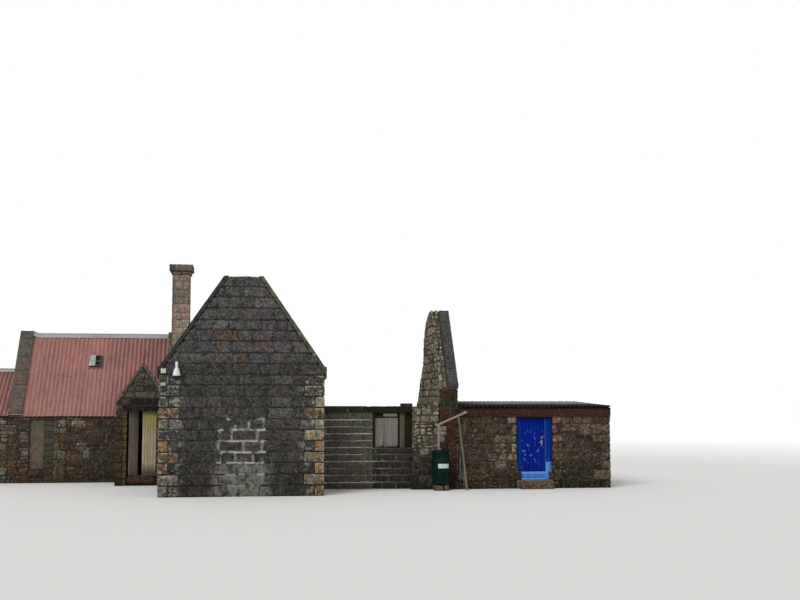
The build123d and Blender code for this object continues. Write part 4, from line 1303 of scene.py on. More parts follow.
shared_east = Side(shared_high.x, left_face, EAST)
east_outline = convex(outline_of(shared_east, "shared_gable"))
lay_rubble(left_work, shared_east, east_outline, left_rng, inside_colour)


def lay_flags(work, start, end, wide, thick, rng, colour, amount, length=0.5):
    """Flat stones bedded along a slope from start to end, over the whole width of a wall head."""
    run, _, _, base = slope_base(Vector(start), Vector(end), EAST)
    matrix = Matrix.Translation(start) @ base.to_4x4()
    for first, last in pairs(joints_along(rng, 0.0, run, length, 0.3)):
        work.block((first + 0.006, -wide / 2, -thick), (last - 0.006, wide / 2, 0.0),
                   vary(rng, colour, amount), rough=0.012, matrix=matrix)


flag_colour, pink_flag = (0.082, 0.074, 0.064), (0.155, 0.112, 0.086)
low_middle = (low_low.x + low_high.x) / 2
for y in (left_face, left_rear):
    lay_flags(left_work, (low_middle, y, low_shoulder), (low_middle, ridge_y, low_high.z),
              low_high.x - low_low.x, 0.09, left_rng, flag_colour, 0.2)
shared_middle = (shared_low.x + shared_high.x) / 2
shared_shoulder = min(point.y for point in east_outline if point.y > 1)
for start_y, end_y in ((left_face, seat_low.y), (left_rear, seat_high.y)):
    lay_flags(left_work, (shared_middle, start_y, shared_shoulder),
              (shared_middle, end_y, seat_low.z), shared_high.x - shared_low.x, 0.1, left_rng,
              pink_flag, 0.25, 0.36)
    for west, east in ((shared_low.x, seat_low.x), (seat_high.x, shared_high.x)):
        middle = (west + east) / 2
        lay_flags(left_work, (middle, end_y, seat_low.z), (middle, ridge_y, shared_high.z),
                  east - west - 0.004, 0.07, left_rng, pink_flag, 0.2, 0.3)
left_cores = {
    "left_front_wall": lambda n, c: n.y < -0.9,
    "left_rear_wall": lambda n, c: n.y > 0.9,
    "low_side_walls": lambda n, c: abs(c.y - ridge_y) > 1.9 and abs(n.y) > 0.9,
    "low_end_gable": lambda n, c: n.z >= -0.5 and n.x <= 0.5,
    "dividing_gable": lambda n, c: abs(n.y) > 0.9 or n.x < -0.9,
    "shared_gable": lambda n, c: n.y > 0.5 or n.x > 0.9 or (n.y < -0.5 and n.z > 0.3),
}


def set_back(work, cores):
    """The cores of several walls, each behind its stones where its test says so."""
    for node, test in cores.items():
        work.core(node, lambda normal, centre: joint_depth if test(normal, centre) else 0.0)


set_back(left_work, left_cores)


def eave_shadow(finish, colour):
    """Painted shadow under the drip of the sheets, along the head of the walls."""
    edge = finish.plus(finish.xyz()[2], finish.between(finish.noise(6.0), -0.05, 0.05))
    over = finish.remap(edge, eave_crest + 0.02, eave_crest + 0.06, 0.75, 0.0)
    share = finish.times(finish.remap(edge, 2.22, 2.30), over)
    return finish.mix(share, colour, (0.016, 0.013, 0.012))


# Walls and mortar are painted dark under the eave as the shadow of the sheets.
left_stone = stone_finish("left_rubble", moss=0.4, lichen=0.3, wash=0.35, contrast=0.8, rim=0.45,
                          patch=eave_shadow)
left_mortar = mortar_finish("left_mortar", (0.070, 0.062, 0.048), (0.034, 0.029, 0.024),
                            patch=eave_shadow)
left_work.done("left_range_walls", [left_stone, left_mortar], "rubble", *left_cores)


# Dividing gable, coping
# Long dark flags over the gable between the left range and the low bay, with a strip of lead
# dressed over the foot of each slope.
divide_work = Work()
divide_skew_low, divide_skew_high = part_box("dividing_skews")
divide_pitch = math.radians(56.5)
divide_putt = left_face - divide_skew_low.y
divide_grey, lead_grey = (0.100, 0.083, 0.072), (0.42, 0.42, 0.43)
lead_low, lead_high = 2.372, 2.392
for direction, start in ((1, 0.0), (-1, left_span)):
    half = sorted((start, left_span / 2))
    lay_coping(divide_work, Side(divide_skew_high.x, left_face, EAST), (start, 2.50), direction,
               divide_pitch, divide_skew_high.z, coping, divide_skew_high.x - divide_skew_low.x,
               coping_rng, divide_grey, 0.08, divide_putt, -0.10, limit=box_panel(*half, -9, far))
for y, way in ((left_face, -1), (left_rear, 1)):
    near, rear = sorted((y - way * 0.03, y + way * (divide_putt - 0.002)))
    divide_work.block((divide_low.x - 0.02, near, lead_low),
                      (divide_skew_high.x + 0.02, rear, lead_high), lead_grey, rough=0.002,
                      edge=0.006)
divide_work.done("dividing_coping", [purple_stone], "whinstone", "dividing_skews")


# Chimney
# A tall stack of squared buff and brown sandstone in courses, redder low down, with a neck course
# and a projecting cope of weathered slabs.
chimney_course, red_height = 0.28, 1.45
stack_buff = (0.2112, 0.1794, 0.1408)
stack_brown = (0.1792, 0.1482, 0.1187)
stack_red = (0.2763, 0.2122, 0.1639)
stack_cream = (0.2916, 0.2598, 0.1944)
cope_grey = (0.140, 0.128, 0.102)
chimney_rng = random.Random(83)
chimney_work = Work()
stack_low, stack_high = seat_low, seat_high
cap_low, cap_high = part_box("chimney_cap")
neck, neck_top = 0.04, 7.66
lower_stack = by_draw(0.12, (0.6, stack_red), (1, stack_cream))
upper_stack = by_draw(0.10, (0.62, stack_buff), (1, stack_brown))


def stack_colour(rng, z):
    return (lower_stack if z < stack_low.z + red_height else upper_stack)(rng)


def neck_colour(rng, z):
    return vary(rng, stack_brown, 0.2)


def lay_ring(work, out, foot, head, cuts, rng, pick, gap=0.012, **how):
    """One course of whole blocks round the stack, split by the given shares along X and Y."""
    low = Vector((stack_low.x - out, stack_low.y - out, foot))
    high = Vector((stack_high.x + out, stack_high.y + out, head))
    split_x = low.x + (high.x - low.x) * cuts[0]
    for start, end, share in ((low.x, split_x, cuts[1]), (split_x, high.x, cuts[2])):
        split_y = low.y + (high.y - low.y) * share
        for first, last in ((low.y, split_y), (split_y, high.y)):
            work.block((start + gap * (start > low.x), first + gap * (first > low.y),
                        low.z + gap / 2), (end, last, high.z - gap / 2), pick(rng, low.z), **how)


even_cuts = ((0.55, 0.68), (0.55, 0.66), (0.3, 0.45))
odd_cuts = ((0.32, 0.45), (0.3, 0.42), (0.56, 0.7))
for number, (foot, head) in enumerate(pairs(course_lines(chimney_rng, stack_low.z, stack_high.z,
                                                         chimney_course, 0.12))):
    cuts = [chimney_rng.uniform(*ends) for ends in even_cuts]
    if number % 2:
        cuts = [chimney_rng.uniform(*ends) for ends in odd_cuts]
    lay_ring(chimney_work, 0.0, foot, head, cuts, chimney_rng, stack_colour, gap=0.003,
             edge=0.012)
lay_ring(chimney_work, neck, stack_high.z, neck_top, (0.5, 0.62, 0.4), chimney_rng, neck_colour,
         rough=0.012)
chimney_work.block((cap_low.x, cap_low.y, neck_top), cap_high, cope_grey, rough=0.014, edge=0.028,
                   step=0.09)
chimney_work.core("chimney_stack", lambda n, c: 0.02)


def dark_west_arris(finish, colour):
    """The stack's west arris, painted dark and purplish."""
    ragged = finish.plus(finish.xyz()[0], finish.between(finish.noise(5.0), -0.05, 0.05))
    darkening = finish.remap(ragged, stack_low.x, stack_low.x + 0.12, 0.75, 0.0)
    return finish.mix(darkening, colour, (0.045, 0.034, 0.052))


stack_stone = stone_finish("chimney_stone", moss=0.4, lichen=0.3, wash=0.25, damp=0.1,
                           contrast=0.6, rim=0.08, patch=dark_west_arris)
stack_mortar = mortar_finish("stack_mortar", (0.190, 0.162, 0.126), (0.120, 0.100, 0.076))
chimney_work.done("chimney", [stack_stone, stack_mortar], "sandstone", "chimney_stack",
                  "chimney_cap")


# Built-up opening and stone lintels
# The opening was closed with rendered blockwork set back in it, bare at its right side. Single
# long stones span the two doorways.
render_grey = (0.1088, 0.0891, 0.0640)
bare_grey, bare_dark = (0.062, 0.057, 0.047), (0.035, 0.032, 0.026)
bare_from, infill_deep = opening_low.x + 0.50, 0.215
infill_work = Work()
for near, east in ((opening_low.y, bare_from), (opening_high.y - infill_deep, opening_high.x)):
    infill_work.block((opening_low.x, near, opening_low.z),
                      (east, near + infill_deep, opening_high.z), render_grey, rough=0.006,
                      edge=0.004, step=0.05)
infill_work.block((bare_from, opening_low.y + 0.012, opening_low.z),
                  (opening_high.x, opening_low.y + infill_deep, opening_high.z), bare_dark,
                  rough=0.004, edge=0.004, step=0.2)
for low, high in pairs(course_lines(left_rng, opening_low.z, opening_high.z, 0.225, 0.02)):
    infill_work.block((bare_from + 0.004, opening_low.y, low + 0.008),
                      (opening_high.x, opening_low.y + 0.10, high - 0.008),
                      vary(left_rng, bare_grey, 0.2), rough=0.006, edge=0.008, step=0.05)
render_coat = stone_finish("rendered_blocks", moss=0.3, lichen=0.2, wash=0.1, damp=1.2,
                           contrast=0.25, bump=0.005, pit=55.0)
infill_work.done("built_up_opening", [render_coat], "concrete_block", "blocked_panels")
lintel_work = Work()
lintel_low, lintel_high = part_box("stone_lintels")
jamb_west, jamb_east = 8.8725, 10.0775
for low, high in (((inner_low, left_face, lintel_low.z), (inner_high, left_face + 0.62, left_head)),
                  ((jamb_west, main_front, 2.31), (jamb_east, main_front + 0.45, lintel_high.z))):
    lintel_work.block(low, high, vary(left_rng, stack_brown), rough=0.008, edge=0.012)
lintel_work.done("door_lintels", [left_stone], "sandstone", "stone_lintels")


# Left range and low bay, corrugated roofs
# Painted corrugated iron, each sheet lapped over the next by one wave and screwed through its
# crests to the purlins. The red paint has faded to pink, with dark streaks down the troughs, and
# the troughs are painted black as shade and dirt next to the wing and on the low bay.
wave, wave_depth, wave_parts, sheet_waves = 0.146, 0.047, 8, 5
sheet, eave_overhang, ridge_gap = 0.007, 0.09, 0.03
low_pitch = math.radians(40)
faded_red, screw_brown = (0.320, 0.138, 0.118), (0.16, 0.09, 0.075)
washer = ((0.0068, 0.010), (0.00765, 0.004), (0.017, 0.002), (0.017, -0.006))
roof_rng = random.Random(97)


class Slope(Side):
    """A roof slope: where its first crest meets the eave, the way it rises and how steeply."""

    def __init__(self, start, uphill, pitch, length, rise):
        self.corner, uphill = Vector(start), Vector(uphill)
        self.run = uphill.cross(Vector(UP))
        self.up = uphill * math.cos(pitch) + Vector(UP) * math.sin(pitch)
        self.out = Vector(UP) * math.cos(pitch) - uphill * math.sin(pitch)
        self.length, self.rise, self.waves = length, rise, round(length / wave)
        self.wave = length / self.waves


def range_slope(west, east, pitch, front=True):
    """The slope of a roof along the range, from the eave overhang to near the ridge."""
    way, edge = (1, left_face) if front else (-1, left_rear)
    start = (west if front else east, edge - way * eave_overhang * math.cos(pitch),
             eave_crest - eave_overhang * math.sin(pitch))
    rise = left_span / 2 / math.cos(pitch) + eave_overhang
    rise -= (wave_depth + sheet) * math.tan(pitch) + ridge_gap
    return Slope(start, (0, way, 0), pitch, east - west, rise)


def grid(wide, levels):
    """Faces between rows of points."""
    return [(a, a + 1, a + wide + 1, a + wide)
            for level in range(levels) for a in range(level * wide, level * wide + wide - 1)]


def closed(faces, total):
    """The faces of a sheet, the same turned over on its other side, and the rim between them."""
    edges = {pair for face in faces for pair in zip(face, face[1:] + face[:1])}
    rims = [(b, a, a + total, b + total) for a, b in sorted(edges) if (b, a) not in edges]
    return faces + [tuple(corner + total for corner in reversed(face)) for face in faces] + rims


def lay_sheets(work, slope, rng, colour, amount=0.06, rows=2, lap=0.12, keep=None, thick=0.0022,
               ragged=0.012, swing=0.030):
    """Sheets in rows up the slope, each bent to its waves, lapped sideways and at its head."""
    row_length = (slope.rise + lap * (rows - 1)) / rows
    for row in range(rows):
        foot, place = row * (row_length - lap), 0
        while place < slope.waves:
            first, last = max(0, place - 1), min(slope.waves, place + sheet_waves)
            if slope.waves - last < 2:
                last = slope.waves
            low = foot + (rng.uniform(-0.02, 0.02) if row else rng.uniform(0.0, ragged))
            high = min(foot + row_length, slope.rise)
            bow = rng.uniform(-0.004, 0.004)
            start, count = first * slope.wave, (last - first) * wave_parts + 1
            steps = max(4, math.ceil((high - low) / 0.3))
            points, middles = [], []
            for level in range(steps + 1):
                up = low + (high - low) * level / steps
                for number in range(count):
                    along = start + slope.wave / wave_parts * number
                    phase = math.cos(2 * math.pi * along / slope.wave)
                    spot = slope.at(along, up)
                    dent = 0.004 * noise.noise(spot * 2.1) + 0.0025 * noise.noise(spot * 6.0)
                    lapped = max(0.0, 1 - (along - start) / slope.wave) if first > 0 else 0.0
                    over = swing / 2 * (phase - 1) + 0.003 * row + 0.004 * lapped + dent - 0.004
                    over += bow * math.sin(math.pi * (up - low) / (high - low))
                    if row == 0:
                        over -= 0.003 * max(0.0, (up - (high - lap)) / lap)
                    points.append(slope.at(along, up, over))
                    middles.append((phase + 1) / 2)
            faces = [face for face in grid(count, steps)
                     if not keep or keep(sum((points[corner] for corner in face), Vector()) / 4)]
            if faces:
                work.add(points + [point - slope.out * thick for point in points],
                         closed(faces, len(points)), vary(rng, colour, amount), middles * 2)
            place = last


def lay_screws(work, slope, places, rng, colour=screw_brown, keep=None):
    """Screws with round washers through every other crest of the waves at each purlin."""
    for up in places:
        for number in range(1, slope.waves, 2):
            middle = slope.at(number * slope.wave, up + rng.uniform(-0.02, 0.02), 0.001)
            if keep and not keep(middle):
                continue
            points = [middle + slope.out * 0.011]
            points += [middle + slope.run * ring * math.cos(math.pi * turn / 4)
                       + slope.up * ring * math.sin(math.pi * turn / 4) + slope.out * height
                       for ring, height in washer for turn in range(8)]
            faces = [(0, 1 + turn, 1 + (turn + 1) % 8) for turn in range(8)]
            faces += [(a, d, c, b) for a, b, c, d in bands(8, 3, 1)]
            work.add(points, faces, colour, [0.5] * len(points))


def roof_paint(name, along_x=True, streak=(0.125, 0.062, 0.060), rust=(0.150, 0.082, 0.062),
               worn=0.55, dirt=0.5, moss=0.2, chalk=(0.36, 0.22, 0.195), dark=None, foot=None,
               gloss=0.2):
    """Faded paint on iron: short dirty runs, brown blots, chalky crests, troughs that are painted
    black, as shade and dirt, where the dark function says so, and painted shade towards a foot."""
    finish = Finish(name, 0.62, gloss)

    def noise_along(scale, detail, rough, along, across):
        stretch = (along, across, across) if along_x else (across, along, across)
        return finish.noise(scale, detail, rough, stretch=stretch)

    crest = finish.middle()
    x, y, _ = finish.xyz()
    runs = noise_along(1.0, 6, 0.62, 15, 1.7)
    broad = finish.noise(0.7, 4, 0.6)
    cloud = noise_along(3.0, 5, 0.65, 1.5, 0.6)
    grain = finish.noise(24.0, 6, 0.7)
    colour = finish.mottle(finish.own(), broad, 0.86, 1.14)
    chalky = finish.times(finish.remap(crest, 0.5, 1.0), finish.remap(cloud, 0.4, 0.7, 0.1, 0.6))
    colour = finish.mix(chalky, colour, chalk)
    colour = finish.mix(finish.remap(runs, 0.50, 0.66, 0.0, dirt), colour, streak)
    blots = noise_along(1.0, 4, 0.55, 8, 2.6)
    colour = finish.mix(finish.remap(cloud, 0.58, 0.70, 0.0, worn * 0.6), colour, rust)
    colour = finish.mix(finish.remap(blots, 0.63, 0.70, 0.0, worn), colour, (0.110, 0.066, 0.056))
    if dark is not None:
        # Troughs painted black as shade and dirt, and the whole sheet a little darker there.
        share = dark(finish, x)
        black = finish.times(finish.remap(crest, 0.0, 0.6, 1.0, 0.0), share)
        black = finish.times(black, finish.remap(runs, 0.35, 0.6, 0.6, 1.0))
        colour = finish.mix(black, colour, (0.050, 0.030, 0.034))
        colour = finish.shade(colour, finish.remap(share, 0.0, 1.0, 1.0, 0.80))
    green = finish.remap(finish.noise(0.9, 5, 0.65), 0.58, 0.75, 0.0, moss)
    green = finish.times(green, finish.remap(crest, 0.0, 0.9, 1.0, 0.2))
    colour = finish.mix(green, colour, (0.085, 0.078, 0.036))
    # Towards the foot the sheets are painted near black, troughs first, as the shade at the sheet
    # ends.
    if foot is not None:
        edge = finish.plus(y, finish.remap(crest, 0.0, 1.0, -1.0, 0.0))
        edge = finish.plus(edge, finish.between(runs, -0.25, 0.25))
        edge = finish.remap(edge, foot + 1.1, foot + 1.8, 0.94, 0.0)
        colour = finish.mix(edge, colour, (0.020, 0.017, 0.018))
    return finish.done(finish.mottle(colour, grain, 0.84, 1.14), grain, 0.0015, 0.5,
                       finish.between(runs, 0.5, 0.75))


def trough_shade_and_dirt(finish, x):
    """Troughs painted black, as shade and dirt, next to the wing and on the low bay, and hardly
    darkened in between.
    """
    return finish.maths("MAXIMUM", finish.remap(x, -5.2, -3.4, 0.10, 0.95),
                        finish.remap(x, -8.06, -7.95, 0.8, 0.0))


def beside_skylight(spot):
    up = (spot - front_slope.corner).dot(front_slope.up)
    return not (skylight[0] < spot.x < skylight[1] and skylight[2] < up < skylight[3])


roof_iron = roof_paint("faded_red_iron", dark=trough_shade_and_dirt)
left_west, left_east = (corner.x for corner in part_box("left_roof_front"))
low_west, low_east = (corner.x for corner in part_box("low_roof"))
front_slope = range_slope(left_west, left_east, divide_pitch)
rear_slope = range_slope(left_west, left_east, divide_pitch, front=False)
low_slopes = [range_slope(low_west, low_east, low_pitch, front) for front in (True, False)]
skylight_foot = 2.011 + eave_overhang
skylight = (left_west + 2.09, left_west + 2.09 + 0.42, skylight_foot, skylight_foot + 0.48)
screw_rows = (0.05, 0.9, 1.75, 2.6, left_span / 2 / math.cos(divide_pitch) - 0.25)
for name, node, slopes, rows, places, keep in (
        ("left_front_sheets", "left_roof_front", [front_slope], 2, screw_rows, beside_skylight),
        ("left_rear_sheets", "left_roof_rear", [rear_slope], 2, screw_rows, None),
        ("low_bay_sheets", "low_roof", low_slopes, 1, (0.05, 0.85, 1.7, 2.3), None)):
    roof_work = Work()
    for slope in slopes:
        lay_sheets(roof_work, slope, roof_rng, faded_red, rows=rows, keep=keep)
        lay_screws(roof_work, slope, places, roof_rng)
    roof_work.done(name, [roof_iron], "red_sheet", node, sharp=60)


# Porch roof
# The same iron on the little roof in the angle, cut to the valley against the big slope. Its east
# side runs into the wing wall.
porch_pitch = math.radians(55.6)
porch_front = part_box("porch_piers")[0].y
porch_wall, porch_foot = 0.4, 2.61
porch_middle, porch_span = (porch_west + wing_west) / 2, wing_west - porch_west
porch_run = ridge_y - porch_front - porch_wall
porch_rise = porch_span / 2 / math.cos(porch_pitch)
stop = (wave_depth + sheet) * math.tan(porch_pitch) + ridge_gap
porch_eave = (porch_west - eave_overhang * math.cos(porch_pitch), ridge_y,
              porch_foot - eave_overhang * math.sin(porch_pitch))


def before_big_roof(spot):
    """In front of the left range's own sheets, and not inside the shared gable."""
    over = (spot - front_slope.corner).dot(front_slope.out)
    return over > -0.02 and not (spot.x > shared_low.x and spot.y > left_face)


porch_roof_work = Work()
for slope in (Slope(porch_eave, EAST, porch_pitch, porch_run, porch_rise + eave_overhang - stop),
              Slope((wing_west, porch_front + porch_wall, porch_foot), WEST, porch_pitch,
                    porch_run, porch_rise - stop)):
    lay_sheets(porch_roof_work, slope, roof_rng, faded_red, rows=1, keep=before_big_roof)
    lay_screws(porch_roof_work, slope, (0.12, 0.8, 1.3), roof_rng, keep=before_big_roof)
porch_iron = roof_paint("porch_red_iron", along_x=False, dirt=0.7, moss=0.6)
porch_roof_work.done("porch_sheets", [porch_iron], "red_sheet", "porch_roof", sharp=60)


# Porch, walls and gable
# Dark coursed stone under two sloping copes that meet in a point, with the stones over the
# doorway painted nearly black as the shadow there, and green algae down the left pier.
porch_dark = (0.0672, 0.0638, 0.0504)
porch_mossy = (0.0744, 0.0780, 0.0504)
porch_pale = (0.1020, 0.1040, 0.0768)
door_head_shadow, cope_colour = (0.016, 0.015, 0.015), (0.112, 0.101, 0.080)
pier_brown, pier_grey = (0.052, 0.036, 0.020), (0.040, 0.032, 0.022)
pier_wide, pier_split, pier_right = 0.4, 0.24, 1.36
porch_rng = random.Random(101)
porch_work = Work()
porch_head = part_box("porch_piers")[1].z
door_west, door_east = porch_middle - 0.48, porch_middle + 0.48
porch_lines = course_lines(porch_rng, 0.0, porch_head, 0.25, 0.10)
# The stones just over the doorway are painted nearly black as the shadow there.
porch_colour = by_place(0.16, 0.0,
                        (0.42, far, porch_head - 0.05, porch_head + 0.42, (1, door_head_shadow)),
                        (-far, pier_wide, -far, porch_head, (0.6, pier_brown), (1, pier_grey)),
                        (-far, far, -far, far, (0.5, porch_dark), (0.8, porch_mossy),
                         (1, porch_pale)))
for number, (low, high) in enumerate(pairs(porch_lines)):
    for start, split in ((0.0, number // 2 % 2), (pier_right, 1 - number % 2)):
        end = start + pier_wide
        for first, last in pairs([start, start + pier_split, end] if split else [start, end]):
            porch_work.block((porch_west + first + 0.006, porch_front, low + 0.006),
                             (porch_west + last - 0.006, porch_front + porch_wall, high - 0.006),
                             porch_colour(porch_rng, first, low), rough=0.013)
gable_lines = course_lines(porch_rng, porch_head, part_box("porch_gable")[1].z, 0.20, 0.08)
porch_side = Side(porch_west, porch_front, FRONT)
for side in (porch_side, Side(wing_west, porch_front + porch_wall, BACK)):
    lay_courses(porch_work, side, convex(outline_of(side, "porch_gable")), gable_lines,
                porch_rng, porch_colour, length=0.30)
lay_rubble(porch_work, Side(porch_west, left_face, WEST),
           box_panel(0, left_face - porch_front - porch_wall, 0, 2.37), porch_rng, porch_colour,
           lines=porch_lines)
porch_cores = {
    "porch_piers": lambda n, c: abs(n.z) <= 0.5 and not (n.x > 0.5 and c.x > wing_west - 0.1),
    "porch_gable": lambda n, c: abs(n.y) > 0.5 or n.x < -0.9,
    "porch_side_wall": lambda n, c: n.x < -0.9,
}
set_back(porch_work, porch_cores)


def green_jamb(finish, colour):
    """Algae in one run down the left pier, beside the doorway."""
    x, y, z = finish.xyz()
    sway = finish.between(finish.noise(5.0, 5, 0.7), -0.09, 0.09)
    across = finish.plus(x, finish.maths("SUBTRACT", sway, porch_west + 0.335))
    share = finish.times(finish.remap(finish.maths("ABSOLUTE", across), 0.02, 0.08, 0.75, 0.0),
                         finish.remap(z, 2.3, 2.5, 1.0, 0.0))
    front = finish.remap(y, porch_front + 0.05, porch_front + 0.12, 1.0, 0.0)
    return finish.mix(finish.times(share, front), colour, (0.118, 0.106, 0.044))


porch_stone = stone_finish("porch_stone", moss=0.5, lichen=0.35, wash=0.1, contrast=0.8, rim=0.6,
                           green=(0.070, 0.072, 0.030), pale=(0.17, 0.18, 0.13),
                           patch=green_jamb)
porch_work.done("porch_stonework", [porch_stone, left_mortar], "rubble", *porch_cores)
cope_work = Work()
for direction, start in ((1, 0.0), (-1, porch_span)):
    half = sorted((start, porch_span / 2))
    lay_coping(cope_work, porch_side, (start, 2.87), direction, porch_pitch,
               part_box("porch_skews")[1].z, 0.09, porch_wall, porch_rng, cope_colour, 0.12,
               length=0.55, limit=box_panel(*half, -9, far))
cope_stone = stone_finish("porch_cope_stone", moss=0.5, lichen=0.3, wash=0.0, damp=0.1, rim=0.3)
cope_work.done("porch_copes", [cope_stone], "whinstone", "porch_skews")


# Ridge flashings
# Lengths of pale zinc-grey sheet bent over the ridges and lapped, with a rolled top and stiffened
# edges. The left end of the long ridge is bent up against the coping.
flashing_work = Work()
flashing_grey = (0.305, 0.302, 0.305)
flashing_rng = random.Random(127)
half_profile = ((-0.19, -0.004), (-0.19, 0.006), (-0.10, 0.005), (-0.030, 0.006), (-0.020, 0.022))
flashing_profile = (*half_profile, (0.0, 0.030),
                    *((-out, over) for out, over in half_profile[::-1]))


def lay_flashing(work, start, way, across, pitch, length, rng, upturn=0.0):
    """Bent sheet along a ridge: start is the middle of the ridge where the crests would meet."""
    start, way, across, up = Vector(start), Vector(way), Vector(across), Vector(UP)
    slope, drop = math.cos(pitch), math.sin(pitch)
    size = len(flashing_profile)
    for index, (low, high) in enumerate(pairs(joints_along(rng, 0.0, length, 1.9, 0.1))):
        low -= 0.06 * (index > 0)
        lift = 0.003 * (index % 2)
        steps = max(3, round((high - low) / 0.16))
        points = []
        for layer in (0.0, -0.002):
            for number in range(steps + 1):
                along = low + (high - low) * number / steps
                bent = upturn * max(0.0, 1 - along / 0.09)
                spot = start + way * (along - bent * 0.6)
                for out, over in flashing_profile:
                    sag = 0.006 * noise.noise(spot * 2.3 + across * out * 9)
                    normal = up * slope + across * (-1 if out < 0 else 1) * drop
                    base = across * out * slope - up * abs(out) * drop
                    points.append(spot + base + normal * (over + lift + layer + sag) + up * bent)
        faces = [(a, d, c, b) for a, b, c, d in grid(size, steps)]
        work.add(points, closed(faces, size * (steps + 1)), vary(rng, flashing_grey, 0.07),
                 [0.5] * len(points), flip=way.cross(across).z > 0)


ridge_top = eave_crest + left_span / 2 * math.tan(divide_pitch)
low_ridge = eave_crest + left_span / 2 * math.tan(low_pitch)
porch_ridge = porch_foot + porch_span / 2 * math.tan(porch_pitch)
valley = left_face + (porch_ridge - eave_crest) / math.tan(divide_pitch)
lay_flashing(flashing_work, (left_west, ridge_y, ridge_top), EAST, BACK, divide_pitch,
             left_east - left_west, flashing_rng, upturn=0.09)
lay_flashing(flashing_work, (low_west, ridge_y, low_ridge), EAST, BACK, low_pitch,
             low_east - low_west, flashing_rng)
lay_flashing(flashing_work, (porch_middle, porch_front + porch_wall, porch_ridge), BACK, EAST,
             porch_pitch, valley - porch_front - porch_wall - 0.05, flashing_rng)


def metal_finish(name, rough=0.5, metal=0.0, stain=(0.10, 0.085, 0.070), stained=0.35, scale=3.0,
                 gloss=0.3, colour=None):
    """Metal or plastic by its own colour: soft bloom, grime in runs and dull spots."""
    finish = Finish(name, rough, gloss)
    bloom = finish.noise(scale)
    fine = finish.noise(scale * 11, 6, 0.7)
    grime = finish.plus(bloom, finish.times(fine, 0.4))
    colour = finish.mottle(colour or finish.own(), bloom, 0.86, 1.13)
    colour = finish.mix(finish.remap(grime, 0.74, 0.92, 0.0, stained), colour, stain)
    finish.set(Metallic=metal)
    return finish.done(colour, fine, 0.0012, 0.5, finish.between(fine, rough - 0.1, rough + 0.15))


flashing_work.done("ridge_sheets", [metal_finish("zinc_flashing", metal=0.15)], "grey_flashing",
                   "ridge_flashings", sharp=50)


# Rooflight
# A small iron rooflight on an upstand between the sheets. The left pane is left in it, the right
# half stands open with its glazing bar, and a brown apron is dressed down over the waves.
light_work, pane_work = Work(), Work()
light_base = Matrix((front_slope.run, front_slope.up, front_slope.out)).transposed().to_4x4()
light_place = Matrix.Translation(front_slope.at(skylight[0] - left_west, skylight[2])) @ light_base
wide, high = skylight[1] - skylight[0], skylight[3] - skylight[2]
half, bar, rise, catch = wide / 2, 0.045, 0.09, high * 0.42
frame_dark, catch_grey = (0.062, 0.052, 0.044), (0.13, 0.11, 0.10)
hole_shade_black = (0.006, 0.005, 0.006)
apron_brown, pane_green = (0.160, 0.120, 0.095), (0.30, 0.33, 0.32)
for west, east, foot, head, under, over, colour in (
        (0.0, bar, 0.0, high, -0.05, rise, frame_dark),
        (wide - bar, wide, 0.0, high, -0.05, rise, frame_dark),
        (bar, wide - bar, 0.0, bar, -0.05, rise - 0.002, frame_dark),
        (bar, wide - bar, high - bar, high, -0.05, rise - 0.002, frame_dark),
        # A near-black panel fills the opening under the panes: painted shade of the roof space
        # below.
        (0.01, wide - 0.01, 0.01, high - 0.01, -0.055, 0.012, hole_shade_black),
        (half - 0.02, half + 0.02, bar, high - bar, 0.03, rise, frame_dark),
        (half, wide - bar, catch, catch + 0.03, 0.04, rise - 0.01, catch_grey),
        (-bar, wide + bar, -0.05, 0.0, -0.004, 0.010, apron_brown),
        (-bar, wide + bar, high, high + 0.045, -0.004, 0.010, apron_brown),
        (-bar, 0.0, 0.0, high, -0.004, 0.010, apron_brown),
        (wide, wide + bar, 0.0, high, -0.004, 0.010, apron_brown)):
    light_work.block((west, foot, under), (east, head, over), colour, rough=0.0015, edge=0.005,
                     step=0.12, matrix=light_place)
light_iron = metal_finish("rooflight_iron", rough=0.7, stained=0.6, stain=(0.09, 0.05, 0.03),
                          scale=7.0)
light_work.done("rooflight_frame", [light_iron], "rooflight_frame", "rooflight", sharp=40)
pane_work.block((0.004, 0.004, rise + 0.001), (half, high - 0.004, rise + 0.010), pane_green,
                rough=0.0004, edge=0.003, step=0.08, matrix=light_place)


def glass_finish():
    """Old cloudy glass with green algae along its lower edge."""
    finish = Finish("cloudy_glass", 0.18, 0.5)
    film = finish.noise(6.0, 6, 0.65)
    algae = finish.remap(finish.noise(14.0, 5, 0.7), 0.56, 0.72, 0.0, 0.5)
    colour = finish.mix(algae, finish.mottle(finish.own(), film, 0.75, 1.15), (0.13, 0.15, 0.09))
    finish.feed(finish.shader.inputs["Coat Weight"], 0.6)
    return finish.done(colour, film, 0.0006, rough=finish.remap(film, 0.35, 0.65, 0.12, 0.4))


pane_work.done("rooflight_glass", [glass_finish()], "rooflight_pane", "rooflight_pane", sharp=40)


